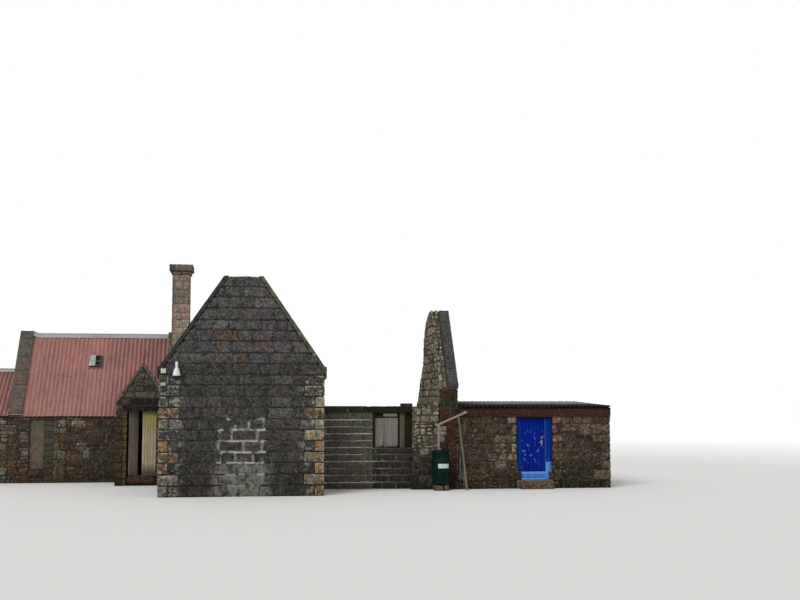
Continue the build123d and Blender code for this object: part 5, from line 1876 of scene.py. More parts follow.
# Roof timbers
# Sawn purlins under the sheets, and the ledger on the wing wall that carries the porch roof.
def wood_finish(name, colour=None, along="z", flake=0.0, under=(0.30, 0.27, 0.22), green=0.0,
                rough=0.78, depth=0.0025, band=None, dark=0.35, algae=(0.115, 0.115, 0.035),
                darkening=None, gloss=0.06):
    """Board or beam: grain along one axis, grime and algae, paint flaked off within a band, and
    painted shade from one height up to another."""
    finish = Finish(name, rough, gloss)
    stretch = {"x": (0.06, 1, 1), "y": (1, 0.06, 1), "z": (1, 1, 0.06)}[along]
    grain = finish.noise(60.0, 6, 0.65, stretch=stretch)
    streak = finish.noise(11.0, 5, 0.65, stretch=stretch)
    made = finish.mottle(colour or finish.own(), grain, 0.80, 1.16)
    made = finish.mottle(made, streak, 0.82, 1.16)
    made = finish.mottle(made, finish.noise(2.0, 4, 0.6), 0.86, 1.12)
    made = finish.shade(made, finish.remap(streak, 0.64, 0.78, 1.0, 1.0 - dark))
    if green:
        growth = finish.remap(finish.noise(2.4, 6, 0.7), 0.44, 0.62, 0.0, green)
        made = finish.mix(growth, made, algae)
    if flake:
        chips = finish.noise(9.0, 5, 0.62, stretch=(1, 1, 0.7))
        share = finish.remap(chips, 0.60, 0.63, 0.0, flake)
        if band:
            high = finish.xyz()[2]
            share = finish.times(share, finish.remap(high, band[0], band[0] + 0.25))
            share = finish.times(share, finish.remap(high, band[1] - 0.3, band[1], 1.0, 0.0))
        made = finish.mix(share, made, under)
    # A band between two heights painted near black: painted shade.
    if darkening:
        shade_share = finish.remap(finish.xyz()[2], *darkening, 0.0, 0.85)
        made = finish.mix(shade_share, made, (0.010, 0.007, 0.007))
    return finish.done(made, grain, depth, 0.8)


def dress(material, *nodes):
    """A finish for pieces that keep the shape of their solids."""
    for node in nodes:
        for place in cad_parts[node].material_slots:
            place.material = material


dress(wood_finish("sawn_purlins", (0.075, 0.058, 0.042), along="x"), "roof_purlins")
dress(wood_finish("ledger_timber", (0.070, 0.056, 0.042), along="y"), "porch_ledger")


# Porch, threshold and floors
# One worn reddish stone in the doorway, hollow under its front edge, and a concrete floor behind.
sill_work = Work()
sill_low, sill_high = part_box("porch_threshold")
sill_red, sill_shade = (0.076, 0.036, 0.021), (0.030, 0.025, 0.020)
sill_work.block((sill_low.x, sill_low.y, 0.06), sill_high, sill_red, rough=0.014, edge=0.03,
                step=0.09)
sill_work.block((sill_low.x + 0.02, sill_low.y + 0.08, 0.0),
                (sill_high.x - 0.02, sill_high.y, 0.07), sill_shade, rough=0.012)
sill_work.done("porch_threshold_stone", [porch_stone], "sandstone", "porch_threshold")


def concrete_finish():
    """Trodden concrete, pitted and stained."""
    finish = Finish("floor_concrete", 0.9)
    grain = finish.noise(42.0, 7, 0.7)
    stain = finish.remap(finish.noise(2.2), 0.4, 0.65, 0.0, 0.7)
    made = finish.mix(stain, (0.150, 0.140, 0.125), (0.060, 0.052, 0.042))
    return finish.done(finish.mottle(made, grain, 0.8, 1.15), grain, 0.003)


dress(concrete_finish(), "left_floor", "store_floor")


# Porch, doors
# A pair of ledged doors of vertical boards in old cream paint, greened by algae under the head.
# Each hangs by eyes on two straps from pins on hooks in the jamb, and the left leaf stands open.
# The open left leaf gets a paler cream than the right one: painted light against the shade inside
# the porch.
leaf_cream, leaf_painted_light = (0.3726, 0.2992, 0.2010), (0.4515, 0.3780, 0.2925)
hinge_iron = (0.040, 0.034, 0.030)
leaf_gap, leaf_wide, leaf_open = 0.008, 0.466, math.radians(55)
leaf_front, leaf_back = porch_front + 0.17, porch_front + 0.215
pin_in, pin_back, hinge_in = 0.024, 0.015, 0.26
eye_profile = ((0.0073, 0.0), (0.0145, 0.0), (0.015, 0.002), (0.015, 0.048), (0.0145, 0.05),
               (0.0073, 0.05), (0.0073, 0.0))
rusty = {"rough": 0.75, "metal": 0.1, "stained": 0.7, "stain": (0.075, 0.032, 0.016),
         "scale": 20.0}
leaf_rng = random.Random(131)


def lay_turned(work, profile, centre, colour, sides=48, slot=0, matrix=None):
    """A turned form: points of radius and height carried round an upright axis."""
    centre, matrix = Vector(centre), matrix or Matrix.Identity(4)
    points, faces, start = [], [], 0
    for radius, high in profile:
        for number in range(sides if radius else 1):
            angle = 2 * math.pi * number / sides
            points.append(matrix @ (centre + Vector((radius * math.cos(angle),
                                                     radius * math.sin(angle), high))))
    for (radius, _), (after, _) in pairs(profile):
        count = sides if radius else 1
        for number in range(sides):
            following = (number + 1) % sides
            low = (start + number, start + following) if radius else (start,)
            high = (start + count + following, start + count + number)
            faces.append(low + (high if after else (start + count,)))
        start += count
    work.add(points, faces, colour, [0.6] * len(points), slot)


def lay_leaf(work, axis, edge, free, front, back, low, high, boards, rng, colour, matrix=None):
    """A leaf of upright boards with its straps and eyes, drawn closed, hung at one edge."""
    start, wide = min(edge, free), abs(free - edge) / boards
    for number in range(boards):
        first, sunk = start + wide * number, rng.uniform(0.0, 0.0015)
        work.block((first + 0.002, front + sunk, low + rng.uniform(0, 0.006)),
                   (first + wide - 0.002, back - sunk, high), vary(rng, colour, 0.07),
                   rough=0.001, edge=0.005, step=0.35, matrix=matrix)
    toward = 1 if free > edge else -1
    for foot in (low + hinge_in + 0.0003, high - hinge_in + 0.0003):
        west, east = sorted((axis[0] + toward * 0.008, axis[0] + toward * 0.33))
        work.block((west, back, foot), (east, back + 0.006, foot + 0.05), hinge_iron,
                   rough=0.0006, edge=0.0025, slot=1, matrix=matrix)
        lay_turned(work, eye_profile, (*axis, foot), hinge_iron, 20, 1, matrix)


def turned_about(axis, angle):
    place = Matrix.Translation((*axis, 0))
    return place @ Matrix.Rotation(angle, 4, "Z") @ place.inverted()


def greened_finish():
    """Cream paint with algae from the head down, thinning out a third of the way down."""
    finish = Finish("cream_paint_green", 0.7)
    grain = finish.noise(60.0, 6, 0.65, stretch=(1, 1, 0.06))
    streak = finish.noise(12.0, 5, 0.65, stretch=(1, 1, 0.05))
    blotch = finish.noise(3.0, 5, 0.65)
    made = finish.mottle(finish.own(), grain, 0.84, 1.13)
    made = finish.mottle(made, streak, 0.80, 1.15)
    edge = finish.plus(finish.xyz()[2], finish.times(blotch, 0.9))
    made = finish.mix(finish.remap(edge, 2.05, 2.55, 0.0, 0.85), made, (0.255, 0.235, 0.055))
    wet = finish.remap(finish.xyz()[2], 0.45, 0.75, 0.8, 0.0)
    made = finish.mix(wet, made, (0.060, 0.036, 0.024))
    chips = finish.remap(finish.noise(11.0, 6, 0.66, stretch=(1, 1, 0.5)), 0.61, 0.66, 0.0, 0.6)
    return finish.done(finish.mix(chips, made, (0.085, 0.070, 0.050)), grain, 0.002, 0.8)


cream_paint = wood_finish("cream_paint", flake=0.5, under=(0.115, 0.098, 0.072), dark=0.4)
old_iron = metal_finish("old_iron", **rusty)
for which, jamb, toward, paint, colour, angle in (
        ("left", door_west, 1, cream_paint, leaf_painted_light, leaf_open),
        ("right", door_east, -1, greened_finish(), leaf_cream, 0)):
    leaf_work = Work()
    axis, edge = (jamb + toward * pin_in, leaf_back + pin_back), jamb + toward * leaf_gap
    lay_leaf(leaf_work, axis, edge, edge + toward * leaf_wide, leaf_front, leaf_back, 0.32, 2.492,
             5, leaf_rng, colour, turned_about(axis, angle))
    leaf_work.done(f"porch_leaf_{which}_boards", [paint, old_iron], "cream_door",
                   f"porch_door_{which}", body=f"porch_leaf_{which}", sharp=40)


# Store, walls
# A low shed of mixed rubble in large grey, brown and red stones with pale mortar in places. Buff
# stones stand at the left jamb and reddish ones at the right, and the lowest run in front of the
# frame.
store_rng = random.Random(113)
store_work = Work()
store_east, store_rear, store_end_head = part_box("store_end_wall")[1]
store_rear_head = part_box("store_rear_wall")[1].z
store_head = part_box("store_front_wall")[1].z
store_wide, store_depth = store_east - end_east, store_rear - main_front
store_grey = (0.0470, 0.0374, 0.0267)
store_brown = (0.0554, 0.0374, 0.0236)
store_dark = (0.0302, 0.0245, 0.0174)
store_buff = (0.1418, 0.1122, 0.0720)
store_orange = (0.1155, 0.0681, 0.0400)
store_pale = (0.0924, 0.0706, 0.0471)
store_red = (0.0588, 0.0338, 0.0223)
store_scar = (0.115, 0.090, 0.076)
store_lines = course_lines(store_rng, 0.0, store_head, 0.31, 0.14)
# By place: two pale scars and red stones left of the door, dark ones low down to its right,
# paler and darker ones above them, and orange ones beside its jamb.
store_colour = by_place(
    0.18, end_east,
    (8.05, 8.45, 0.75, 1.12, (1, store_scar)),
    (8.05, 8.45, 1.2, 1.45, (1, store_scar)),
    (7.6, 8.3, -far, 0.7, (1, store_red)),
    (10.3, far, -far, 0.85, (1, store_dark)),
    (10.4, far, 1.85, 2.3, (1, store_pale)),
    (10.2, 11.5, 1.3, 1.85, (0.7, store_dark), (1, store_grey)),
    (jamb_east, jamb_east + 0.55, 0.9, far, (0.6, store_orange), (1, store_brown)),
    (-far, far, -far, far, (0.42, store_grey), (0.72, store_brown), (0.80, store_red),
     (0.88, store_pale), (1, store_dark)))
store_quoin = by_draw(0.15, (0.5, store_pale), (1, store_brown))
jamb_reach, jamb_short = 0.32, 0.17
large = {"length": 0.46, "cut": 0.03, "jitter": 0.034, "gap": 0.016}
rough_face = {"cut": 0.05, "jitter": 0.04}


def plain_store_colour(rng, x, z):
    return store_colour(rng, 0.5, z)


def store_end_starts(number):
    return (quoin_reach(number)[1] if number < len(store_lines) - 1 else 0.0,) * 2


def store_wall(side, border, pick=plain_store_colour, lines=store_lines, **how):
    lay_rubble(store_work, side, border, store_rng, pick, lines=lines, **how)


store_side = Side(end_east, main_front, FRONT)
store_wall(store_side, box_panel(0, jamb_west - jamb_reach - end_east, 0, store_head),
           store_colour, **large)
store_wall(store_side, box_panel(jamb_east + jamb_reach - end_east, store_wide, 0, store_head),
           store_colour, starts=end_quoin, **large)
for jamb, toward, kind in ((jamb_west, -1, store_buff), (jamb_east, 1, store_orange)):
    for number, (low, high) in enumerate(pairs(store_lines)):
        low, high = low + joint / 2, high - joint / 2
        reach = jamb_reach if number % 2 else jamb_short
        west, east = sorted((jamb, jamb + toward * reach))
        store_work.block((west, main_front, low), (east, main_front + 0.2, high),
                         vary(store_rng, store_brown if number < 3 else kind, 0.2), rough=0.016,
                         edge=0.035)
        if reach < jamb_reach:
            west, east = sorted((jamb + toward * (reach + joint), jamb + toward * jamb_reach))
            store_work.stone(store_side, box_panel(west - end_east, east - end_east, low, high),
                             store_colour(store_rng, west - end_east, low), cut=0.04)
    for low, high, over in ((0.28, 0.56, 0.145), (0.56, 0.86, 0.06)):
        west, east = sorted((jamb + toward * 0.12, jamb - toward * over))
        store_work.block((west, main_front + 0.004, low + 0.008),
                         (east, main_front + 0.105, high), vary(store_rng, store_brown, 0.2),
                         rough=0.02, edge=0.045, step=0.06)
store_wall(Side(store_east, main_front, EAST),
           [Vector((0, 0)), Vector((store_depth, 0)), Vector((store_depth, store_end_head)),
            Vector((0, store_head))], lines=store_lines + [store_end_head], length=0.44,
           starts=store_end_starts, **rough_face)
store_back_side = Side(store_east, store_rear, BACK)
store_wall(store_back_side, box_panel(0, store_wide, 0, store_head), length=0.46,
           starts=start_quoin, **rough_face)
store_wall(store_back_side, box_panel(0, store_wide, store_head, store_rear_head),
           lines=[store_head, store_rear_head], length=0.4)
for y, toward in ((main_front, 1), (store_rear, -1)):
    lay_quoins(store_work, store_east, y, -1, toward, store_lines, store_head, store_rng,
               store_quoin)
store_cores = {
    "store_front_wall": lambda n, c: n.y < -0.9 or (abs(n.x) > 0.9 and end_east + 1 < c.x < 11),
    "store_end_wall": lambda n, c: n.x > 0.9 or abs(n.y) > 0.9,
    "store_rear_wall": lambda n, c: n.y > 0.9,
}
set_back(store_work, store_cores)


def pale_corner(finish, colour):
    """The arris of the far corner, rubbed pale from the ground to the eaves."""
    ragged = finish.plus(finish.xyz()[0], finish.between(finish.noise(7.0), -0.015, 0.015))
    pale = finish.remap(ragged, store_east - 0.06, store_east - 0.035, 0.0, 0.6)
    return finish.mix(pale, colour, (0.24, 0.18, 0.15))


store_stone = stone_finish("store_rubble", moss=0.3, lichen=0.5, wash=0.45, damp=0.8,
                           contrast=0.95, rim=0.6, smears=0.68, patch=pale_corner)
store_mortar = mortar_finish("store_mortar", (0.075, 0.062, 0.044), (0.028, 0.022, 0.017))
store_work.done("store_walls", [store_stone, store_mortar], "rubble", *store_cores)


# Store, roof
# Corrugated fibre-cement sheets laid to a low fall, pale with weather, lichened, their troughs and
# ragged front edge painted near black as the shade at the scalloped sheet ends over the fascia.
store_fall = math.atan(0.15 / 4.2)
store_overhang, store_crest = 0.09, 2.694
cement_grey, cement_screw = (0.200, 0.180, 0.160), (0.20, 0.19, 0.17)
store_slope = Slope((end_east, main_front - store_overhang * math.cos(store_fall),
                     store_crest - store_overhang * math.sin(store_fall)), BACK, store_fall,
                    store_wide, store_depth / math.cos(store_fall) + 2 * store_overhang)
cement_work = Work()
lay_sheets(cement_work, store_slope, store_rng, cement_grey, 0.08, thick=0.0065, ragged=0.0,
           lap=0.15, swing=wave_depth)
lay_screws(cement_work, store_slope, (0.25, 2.1, 4.1), store_rng, cement_screw)
cement_sheet = roof_paint("cement_sheet", streak=(0.075, 0.068, 0.058), rust=(0.12, 0.115, 0.095),
                          worn=0.6, moss=0.5, chalk=(0.34, 0.32, 0.29),
                          foot=main_front - store_overhang, gloss=0.0)
cement_work.done("store_sheets", [cement_sheet], "cement_sheet", "store_roof", sharp=60)


# Store, fascia
# A deep board in two lengths under the sheets, its red-brown paint thin and weathered along the
# lower edge, and its top painted dark as the shade under the sheets.
fascia_work = Work()
fascia_low, fascia_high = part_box("store_fascia")
fascia_joint = fascia_low.x + 2.72
fascia_red = (0.050, 0.019, 0.016)
for first, last in ((fascia_low.x, fascia_joint - 0.003), (fascia_joint, fascia_high.x)):
    for low, high, back in ((fascia_low.z, fascia_low.z + 0.045, 0.0),
                            (fascia_low.z + 0.049, fascia_high.z, 0.005)):
        fascia_work.block((first, fascia_low.y + back, low), (last, fascia_high.y, high),
                          vary(store_rng, fascia_red, 0.12), rough=0.0015, edge=0.004, step=0.4)
# The top of the board is painted dark as the shade under the sheets.
fascia_paint = wood_finish("red_brown_paint", along="x", flake=0.5, under=(0.100, 0.064, 0.050),
                           dark=0.6, darkening=(fascia_high.z - 0.075, fascia_high.z - 0.03))
fascia_work.done("store_fascia_boards", [fascia_paint], "red_fascia", "store_fascia", sharp=40)


# Store, door frame
# Wide blue planks at the jambs and over the door, and a deep sill of boards in a lighter blue that
# is worn by boots.
frame_work = Work()
jambs_low, jambs_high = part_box("store_frame")
door_left, door_right = 9.0425, 9.8425
door_foot, door_top = 0.54, 2.25
frame_blue, head_blue = (0.0025, 0.026, 0.190), (0.003, 0.018, 0.130)
plinth_blue = (0.090, 0.220, 0.560)
sill_blues = (0.130, 0.300, 0.760), (0.060, 0.180, 0.520), (0.1200, 0.3117, 0.7560)
frame_light = (0.022, 0.085, 0.350)
for west, east, foot, head, back, colour in (
        (jambs_low.x, door_left, jambs_low.z, door_top, 0.0, frame_blue),
        (door_right, jambs_high.x, 0.86, door_top, 0.0, frame_blue),
        (door_right, jambs_high.x, jambs_low.z, 0.858, 0.0, plinth_blue),
        (jambs_low.x, jambs_high.x, door_top, jambs_high.z, 0.0, head_blue),
        (door_left, door_right, 0.455, door_foot, 0.0, sill_blues[0]),
        (door_left, door_right, 0.335, 0.453, 0.006, sill_blues[1]),
        (door_left, door_right, jambs_low.z, 0.333, 0.0, sill_blues[2])):
    frame_work.block((west, jambs_low.y + back, foot), (east, jambs_high.y, head),
                     vary(store_rng, colour, 0.06), rough=0.0015, edge=0.005, step=0.3)
frame_work.block((door_right - 0.006, jambs_low.y - 0.004, door_foot),
                 (door_right + 0.020, jambs_low.y + 0.03, door_top), frame_light, rough=0.001,
                 edge=0.004, step=0.3)
blue_paint = wood_finish("blue_paint", flake=0.35, under=(0.20, 0.27, 0.40), rough=0.5,
                         depth=0.0015, band=(0.0, 1.1), gloss=0.03)
frame_work.done("store_frame_planks", [blue_paint], "blue_door", "store_frame", sharp=40)


# Store, door
# A sheeted leaf of vertical boards painted bright blue, flaked to pale wood and old grey paint at
# hand height and below, hung on two straps, with a lever handle on a plate.
store_leaf_work = Work()
store_leaf_front, store_leaf_back = 1.89, 1.935
door_blue, steel = (0.0005, 0.014, 0.215), (0.35, 0.34, 0.32)
handle_x, handle_z = door_right - 0.108, 1.485
lay_leaf(store_leaf_work, (door_left + pin_in, 1.95), door_left + 0.008, door_right - 0.008,
         store_leaf_front, store_leaf_back, 0.55, 2.242, 6, store_rng, door_blue)
for west, east, half, near, back, rough, edge, step in (
        (-0.02, 0.02, 0.08, -0.006, 0.0, 0.0004, 0.003, 0.05),
        (-0.008, 0.008, 0.008, -0.046, 0.0, 0.0002, 0.005, 0.05),
        (-0.102, 0.008, 0.008, -0.046, -0.030, 0.0002, 0.006, 0.04)):
    store_leaf_work.block((handle_x + west, store_leaf_front + near, handle_z - half),
                          (handle_x + east, store_leaf_front + back, handle_z + half), steel,
                          rough=rough, edge=edge, step=step, slot=1)
bright_blue = wood_finish("bright_blue_paint", flake=0.6, under=(0.28, 0.29, 0.34), dark=0.3,
                          rough=0.45, depth=0.0015, band=(0.5, 2.05), gloss=0.03)
store_leaf_work.done("store_door_boards", [bright_blue, old_iron], "blue_door", "store_door",
                     body="store_leaf", sharp=40)
dress(metal_finish("hinge_pin_iron", colour=hinge_iron, **rusty), "hinge_pins")


# Store, step
# One reddish sandstone step, worn hollow in the middle of its tread.
step_work = Work()
step_red, tread_middle, tread_half, tread_worn = (0.140, 0.080, 0.055), 9.475, 0.42, 0.022
step_work.block(*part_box("store_step"), step_red, rough=0.016, edge=0.035, step=0.07)
for point in step_work.points:
    if point.z > 0.15:
        hollow = max(0.0, 1 - ((point.x - tread_middle) / tread_half) ** 2)
        point -= Vector((0, 0, tread_worn * hollow))
step_work.done("store_step_stone", [store_stone], "sandstone", "store_step")


# Window, old beam and boards
# A rough timber beam over the window, black with damp and mossy on top. A pale board of two
# sheets, curled and ragged at the foot, closes most of the window, with a post beside it.
beam_work, board_work, shade_lining_work, top_work = Work(), Work(), Work(), Work()
beam_black, lining_shade_black = (0.018, 0.016, 0.010), (0.021, 0.015, 0.011)
slab_dark = (0.034, 0.022, 0.016)
board_pale, board_grey = (0.200, 0.173, 0.146), (0.182, 0.174, 0.158)
batten_pale, post_grey = (0.290, 0.265, 0.140), (0.098, 0.082, 0.062)
board_ragged, board_thick = 0.05, 0.018
beam_work.block(beam_low - Vector((0, 0, 0.02)), beam_high, beam_black, rough=0.016, edge=0.03,
                step=0.09)
beam_wood = wood_finish("old_beam", along="x", green=0.5, depth=0.006, rough=0.9,
                        algae=(0.030, 0.030, 0.012))
beam_work.done("window_beam", [beam_wood], "dark_timber", "window_lintel")
boards_low, boards_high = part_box("window_boards")
board_left, board_front = boards_low.x, boards_low.y
board_split, board_right = board_left + 0.285, board_left + 0.73


def lay_sheet_board(left, right, low, high, y, colour, curl, lean=0.0):
    """A thin board that stands upright, bowed forward at its sides and ragged at its foot."""
    across, up = 10, 16
    points = []
    for back in (0.0, board_thick):
        for level in range(up + 1):
            for number in range(across + 1):
                share, rise = number / across, level / up
                x = left + (right - left) * share + lean * (1 - rise) * (share - 0.5)
                torn = 0.5 + 0.5 * noise.noise(Vector((x * 9, 1.3, 0)))
                foot = low + board_ragged * torn + board_ragged * 0.6 * share
                z = foot + (high - foot) * rise
                bow = curl * (2 * share - 1) ** 2 * (1 - 0.4 * rise)
                dent = 0.002 * noise.noise(Vector((x * 5, 0, z * 5)))
                points.append(Vector((x, y + curl - bow + dent + back, z)))
    board_work.add(points, closed(grid(across + 1, up), len(points) // 2), colour,
                   [0.5] * len(points))


lay_sheet_board(board_left - 0.03, board_split, boards_low.z, 2.275, board_front, board_pale,
                0.012, -0.05)
lay_sheet_board(board_split + 0.006, board_right, boards_low.z, 2.285, board_front + 0.003,
                board_grey, 0.008)
board_work.block((board_left + 0.255, board_front, 2.335),
                 (board_right - 0.02, board_front + 0.03, 2.435), batten_pale, rough=0.0015,
                 edge=0.005)
board_work.block((5.0975, board_front + 0.01, boards_low.z),
                 (5.2675, boards_high.y, boards_high.z), post_grey, rough=0.006, edge=0.012,
                 step=0.1)
board_wood = wood_finish("pale_board", dark=0.2, depth=0.002, green=0.15)
board_work.done("window_board_pieces", [board_wood], "pale_board", "window_boards", sharp=40)
# Near-black timber linings, the old frame, round the boards and under the beam, coloured as painted
# shade of the dark opening behind them.
for low, high in (
        ((apron_low.x, 2.25, apron_high.z - 0.02), (board_left - 0.008, 2.38, beam_low.z + 0.03)),
        ((apron_low.x, 2.325, 2.29), (apron_high.x, 2.39, beam_low.z + 0.04)),
        ((board_left - 0.02, 2.36, apron_high.z - 0.02), (apron_high.x, 2.385, 2.30))):
    shade_lining_work.block(low, high, lining_shade_black, rough=0.004, edge=0.006, step=0.2)
shade_lining_work.done("window_linings_painted_shade", [beam_wood], "dark_timber", sharp=40)
top_low, top_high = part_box("wall_head_slab")
top_work.block(top_low - Vector((0, 0, 0.03)), top_high, slab_dark, rough=0.012, step=0.07)
top_work.done("wall_head_stone", [block_stone], "concrete", "wall_head_slab")


# Downpipe
# A thin pinkish-grey plastic pipe from a spout on the fascia across the end gable, with socketed
# bends, and down into the lid of the butt.
pipe_pink, socket_pink, seal_dark = (0.235, 0.185, 0.165), (0.250, 0.205, 0.188), (0.06, 0.06, 0.05)
tube_sides = 20


def lay_tube(work, path, radii, colour):
    """A round pipe along a path of points, closed at both ends, of one radius or of several."""
    path = [Vector(point) for point in path]
    radii = radii if isinstance(radii, list) else [radii] * len(path)
    normal = (path[1] - path[0]).orthogonal().normalized()
    points = []
    for number, point in enumerate(path):
        way = (path[min(len(path) - 1, number + 1)] - path[max(0, number - 1)]).normalized()
        normal = (normal - way * normal.dot(way)).normalized()
        other = way.cross(normal)
        for part in range(tube_sides):
            angle = 2 * math.pi * part / tube_sides
            points.append(point + (normal * math.cos(angle) + other * math.sin(angle))
                          * radii[number])
    ends = [tuple(reversed(range(tube_sides))),
            tuple(range(len(points) - tube_sides, len(points)))]
    work.add(points, bands(tube_sides, len(path) - 1) + ends, colour, [0.6] * len(points))


def rounded(corners, radius, parts=6):
    """A path through corners, each turned on a curve instead."""
    path = [corners[0]]
    for before, corner, after in zip(corners, corners[1:], corners[2:]):
        start = corner + (before - corner).normalized() * radius
        end = corner + (after - corner).normalized() * radius
        for share in (number / parts for number in range(parts + 1)):
            path.append(start.lerp(corner, share).lerp(corner.lerp(end, share), share))
    return path + [corners[-1]]


def lay_collar(work, point, toward, radius, long, colour):
    """A socket or a bracket ring round a pipe."""
    start, way = Vector(point), (Vector(toward) - Vector(point)).normalized()
    lay_tube(work, [start + way * long * share for share in (0.0, 0.1, 0.9, 1.0)],
             [radius * 0.93, radius, radius, radius * 0.93], colour)


pipe_work = Work()
butt_low, butt_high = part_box("water_butt")
butt_middle = (butt_low + butt_high) / 2
bends = [Vector(corner) for corner in ((7.1225, main_front - 0.03, 2.47),
                                       (7.1225, butt_middle.y, 2.47),
                                       (butt_middle.x - 0.06, butt_middle.y, 2.085),
                                       (butt_middle.x - 0.06, butt_middle.y, butt_high.z))]
lay_tube(pipe_work, rounded(bends, 0.055), 0.034, pipe_pink)
for corner, toward in ((1, 0), (1, 2), (2, 1), (2, 3)):
    way = (bends[toward] - bends[corner]).normalized()
    lay_collar(pipe_work, bends[corner] + way * 0.05, bends[toward], 0.0385, 0.055, socket_pink)
lay_collar(pipe_work, bends[3] + Vector((0, 0, 0.001)), bends[2], 0.044, 0.02, seal_dark)
pipe_plastic = metal_finish("pinkish_plastic", stained=0.4, stain=(0.14, 0.10, 0.08), scale=6.0)
pipe_work.done("rainwater_pipe", [pipe_plastic], "pink_pipe", "downpipe", sharp=50)


# Water butt
# A dark green moulded barrel with two raised rings, a rim and a lid, and a bare white label. It
# stands on a few rough stones.
butt_work = Work()
butt_green, label_pale = (0.0036, 0.0135, 0.0095), (0.50, 0.56, 0.60)
butt_radius, body, butt_base = 0.289, 0.274, 0.2
tall = butt_high.z - butt_base
ring_profile = ((-0.032, 0.0), (-0.022, 0.003), (-0.008, 0.0135), (0.0, 0.0155), (0.008, 0.0135),
                (0.022, 0.003), (0.032, 0.0))
butt_profile = [(0.0, 0.0), (body - 0.02, 0.0), (body - 0.004, 0.008), (body, 0.022),
                *((body + out, tall * ring + away) for ring in (1 / 3, 2 / 3)
                  for away, out in ring_profile),
                (body, tall - 0.075), (body + 0.004, tall - 0.066), (butt_radius, tall - 0.060),
                (butt_radius + 0.0005, tall - 0.012), (butt_radius - 0.006, tall - 0.004),
                (butt_radius - 0.03, tall - 0.002), (butt_radius - 0.04, tall - 0.010),
                (0.12, tall - 0.008), (0.0, tall - 0.006)]
lay_turned(butt_work, butt_profile, (butt_middle.x, butt_middle.y, butt_base), butt_green, 72)
label_parts, label_low, label_high = 14, 0.710, 0.850
label_from, label_to = math.radians(-26), math.radians(58)
label_points = []
for proud in (0.0012, 0.0):
    for level in (label_low, label_high):
        for number in range(label_parts + 1):
            angle = label_from + (label_to - label_from) * number / label_parts
            label_points.append(Vector((butt_middle.x + (body + proud) * math.sin(angle),
                                        butt_middle.y - (body + proud) * math.cos(angle), level)))
row = label_parts + 1
label_faces = grid(row, 1)
label_faces += [(n + 1, n, 2 * row + n, 2 * row + n + 1) for n in range(label_parts)]
label_faces += [(row + n, row + n + 1, 3 * row + n + 1, 3 * row + n) for n in range(label_parts)]
butt_work.add(label_points, label_faces, label_pale, [0.5] * len(label_points), 1)
stand_rng = random.Random(149)
for west, east, near, rear, head in ((-0.23, 0.05, -0.22, 0.02, 0.19),
                                     (0.07, 0.24, -0.23, 0.0, 0.2),
                                     (-0.24, -0.02, 0.04, 0.24, 0.2),
                                     (0.0, 0.23, 0.02, 0.23, 0.195)):
    butt_work.block((butt_middle.x + west, butt_middle.y + near, 0.0),
                    (butt_middle.x + east, butt_middle.y + rear, head),
                    vary(stand_rng, rubble_brown if west < 0 else rubble_grey, 0.3), rough=0.022,
                    edge=0.04, step=0.06, slot=2)
butt_plastic = metal_finish("green_plastic", rough=0.42, gloss=0.05, stained=0.55,
                            stain=(0.020, 0.038, 0.032), scale=4.0)
label_white = metal_finish("bare_label", rough=0.45, stained=0.2, stain=(0.35, 0.35, 0.33),
                           scale=12.0)
butt_work.done("rain_butt", [butt_plastic, label_white, rubble_stone], "green_butt",
               "water_butt", sharp=45)


# Leaning pole and upright pipe
# A peeled larch pole leans on the corner of the store, and a short grey-blue waste pipe stands
# against the wall beside it with a dark shoe at its foot.
pole_work, grey_work = Work(), Work()
pole_foot, pole_head = Vector((7.1225, 1.333, 0.0)), Vector((6.9425, 1.733, 2.31))
pole_brown, grey_blue = (0.155, 0.130, 0.088), (0.062, 0.072, 0.098)
shoe_dark, collar_blue = (0.020, 0.024, 0.034), (0.070, 0.080, 0.105)
pole_path, pole_radii = [], []
for share in (number / 16 for number in range(17)):
    spot = pole_foot.lerp(pole_head, share)
    sway = Vector((0.006 * math.sin(5 * share), 0.004 * math.sin(7 * share), 0))
    pole_path.append(spot + sway * math.sin(math.pi * share))
    pole_radii.append(0.039 - 0.007 * share + 0.0015 * noise.noise(spot * 6))
pole_path[0] += Vector((0, 0, 0.016))
lay_tube(pole_work, pole_path, pole_radii, pole_brown)
pole_wood = wood_finish("peeled_pole", depth=0.003)
pole_work.done("leaning_pole_timber", [pole_wood], "pole_timber", "leaning_pole", sharp=60)
grey_low, grey_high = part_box("upright_pipe")
grey_x, grey_y = (grey_low.x + grey_high.x) / 2, (grey_low.y + grey_high.y) / 2
lay_tube(grey_work, [(grey_x, grey_y, z) for z in (grey_low.z + 0.02, 0.6, grey_high.z)], 0.036,
         grey_blue)
for low, colour in ((grey_low.z, shoe_dark), (0.62, collar_blue),
                    (grey_high.z - 0.07, collar_blue)):
    lay_collar(grey_work, (grey_x, grey_y, low), (grey_x, grey_y, 2), 0.0395, 0.06, colour)
grey_plastic = metal_finish("grey_blue_plastic", stained=0.5, stain=(0.035, 0.035, 0.035),
                            scale=7.0)
grey_work.done("waste_pipe", [grey_plastic], "grey_pipe", "upright_pipe", sharp=50)


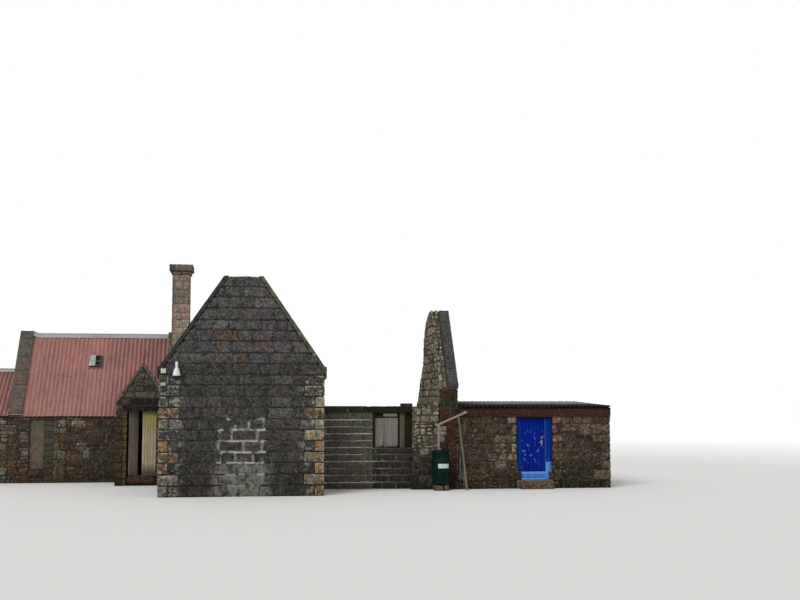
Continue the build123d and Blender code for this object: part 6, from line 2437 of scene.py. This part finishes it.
# Camera and boxes on the wing
# A white bell housing hangs from an arm on the gable, with a smoked dome below it. Two small
# plastic boxes are screwed to the wall beside it.
camera_work, box_work = Work(), Work()
eye = Vector((wing_west + 0.52, front_y - 0.18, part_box("dome_camera")[1].z))
shell_white, dome_black = (0.66, 0.66, 0.65), (0.012, 0.014, 0.012)
shell = [(0.0, 0.0), (0.030, 0.0), (0.038, -0.006), (0.038, -0.188), (0.044, -0.200),
         (0.060, -0.205), (0.070, -0.214), (0.080, -0.250), (0.094, -0.310), (0.108, -0.370),
         (0.1165, -0.398), (0.1165, -0.410), (0.112, -0.413), (0.096, -0.413), (0.096, -0.409)]
dome = [(0.095 * math.cos(math.radians(angle)), -0.411 - 0.160 * math.sin(math.radians(angle)))
        for angle in range(0, 90, 9)]
lay_turned(camera_work, shell[::-1], eye, shell_white, 56)
lay_turned(camera_work, [(0.0, -0.571), *dome[::-1]], eye, dome_black, 56, 1)
lay_tube(camera_work, [(eye.x, eye.y, eye.z - 0.042), (eye.x, front_y - 0.012, eye.z - 0.042)],
         0.032, shell_white)
camera_work.block((eye.x - 0.038, front_y - 0.014, eye.z - 0.08), (eye.x + 0.038, front_y, eye.z),
                  shell_white, rough=0.0002, edge=0.006, step=0.05)
white_plastic = metal_finish("white_plastic", rough=0.4, stained=0.15, stain=(0.40, 0.38, 0.33),
                             scale=9.0)
smoked_dome = metal_finish("smoked_dome", rough=0.15, stained=0.1, scale=9.0)
camera_work.done("dome_camera_housing", [white_plastic, smoked_dome], "white_plastic",
                 "dome_camera", sharp=40)
box_x = wing_west + 0.13
for low, high, colour in ((3.642, 3.777, (0.52, 0.50, 0.38)), (3.275, 3.365, (0.36, 0.36, 0.30))):
    for half, near, rear, inset, edge in ((0.073, 0.062, 0.0, 0.002, 0.006),
                                          (0.075, 0.080, 0.060, 0.0, 0.007)):
        box_work.block((box_x - half, front_y - near, low + inset),
                       (box_x + half, front_y - rear, high - inset), colour, rough=0.0003,
                       edge=edge, step=0.05)
box_plastic = metal_finish("pale_plastic", stained=0.45, stain=(0.24, 0.22, 0.15), scale=10.0)
box_work.done("junction_boxes", [box_plastic], "pale_plastic", "wall_boxes", sharp=40)
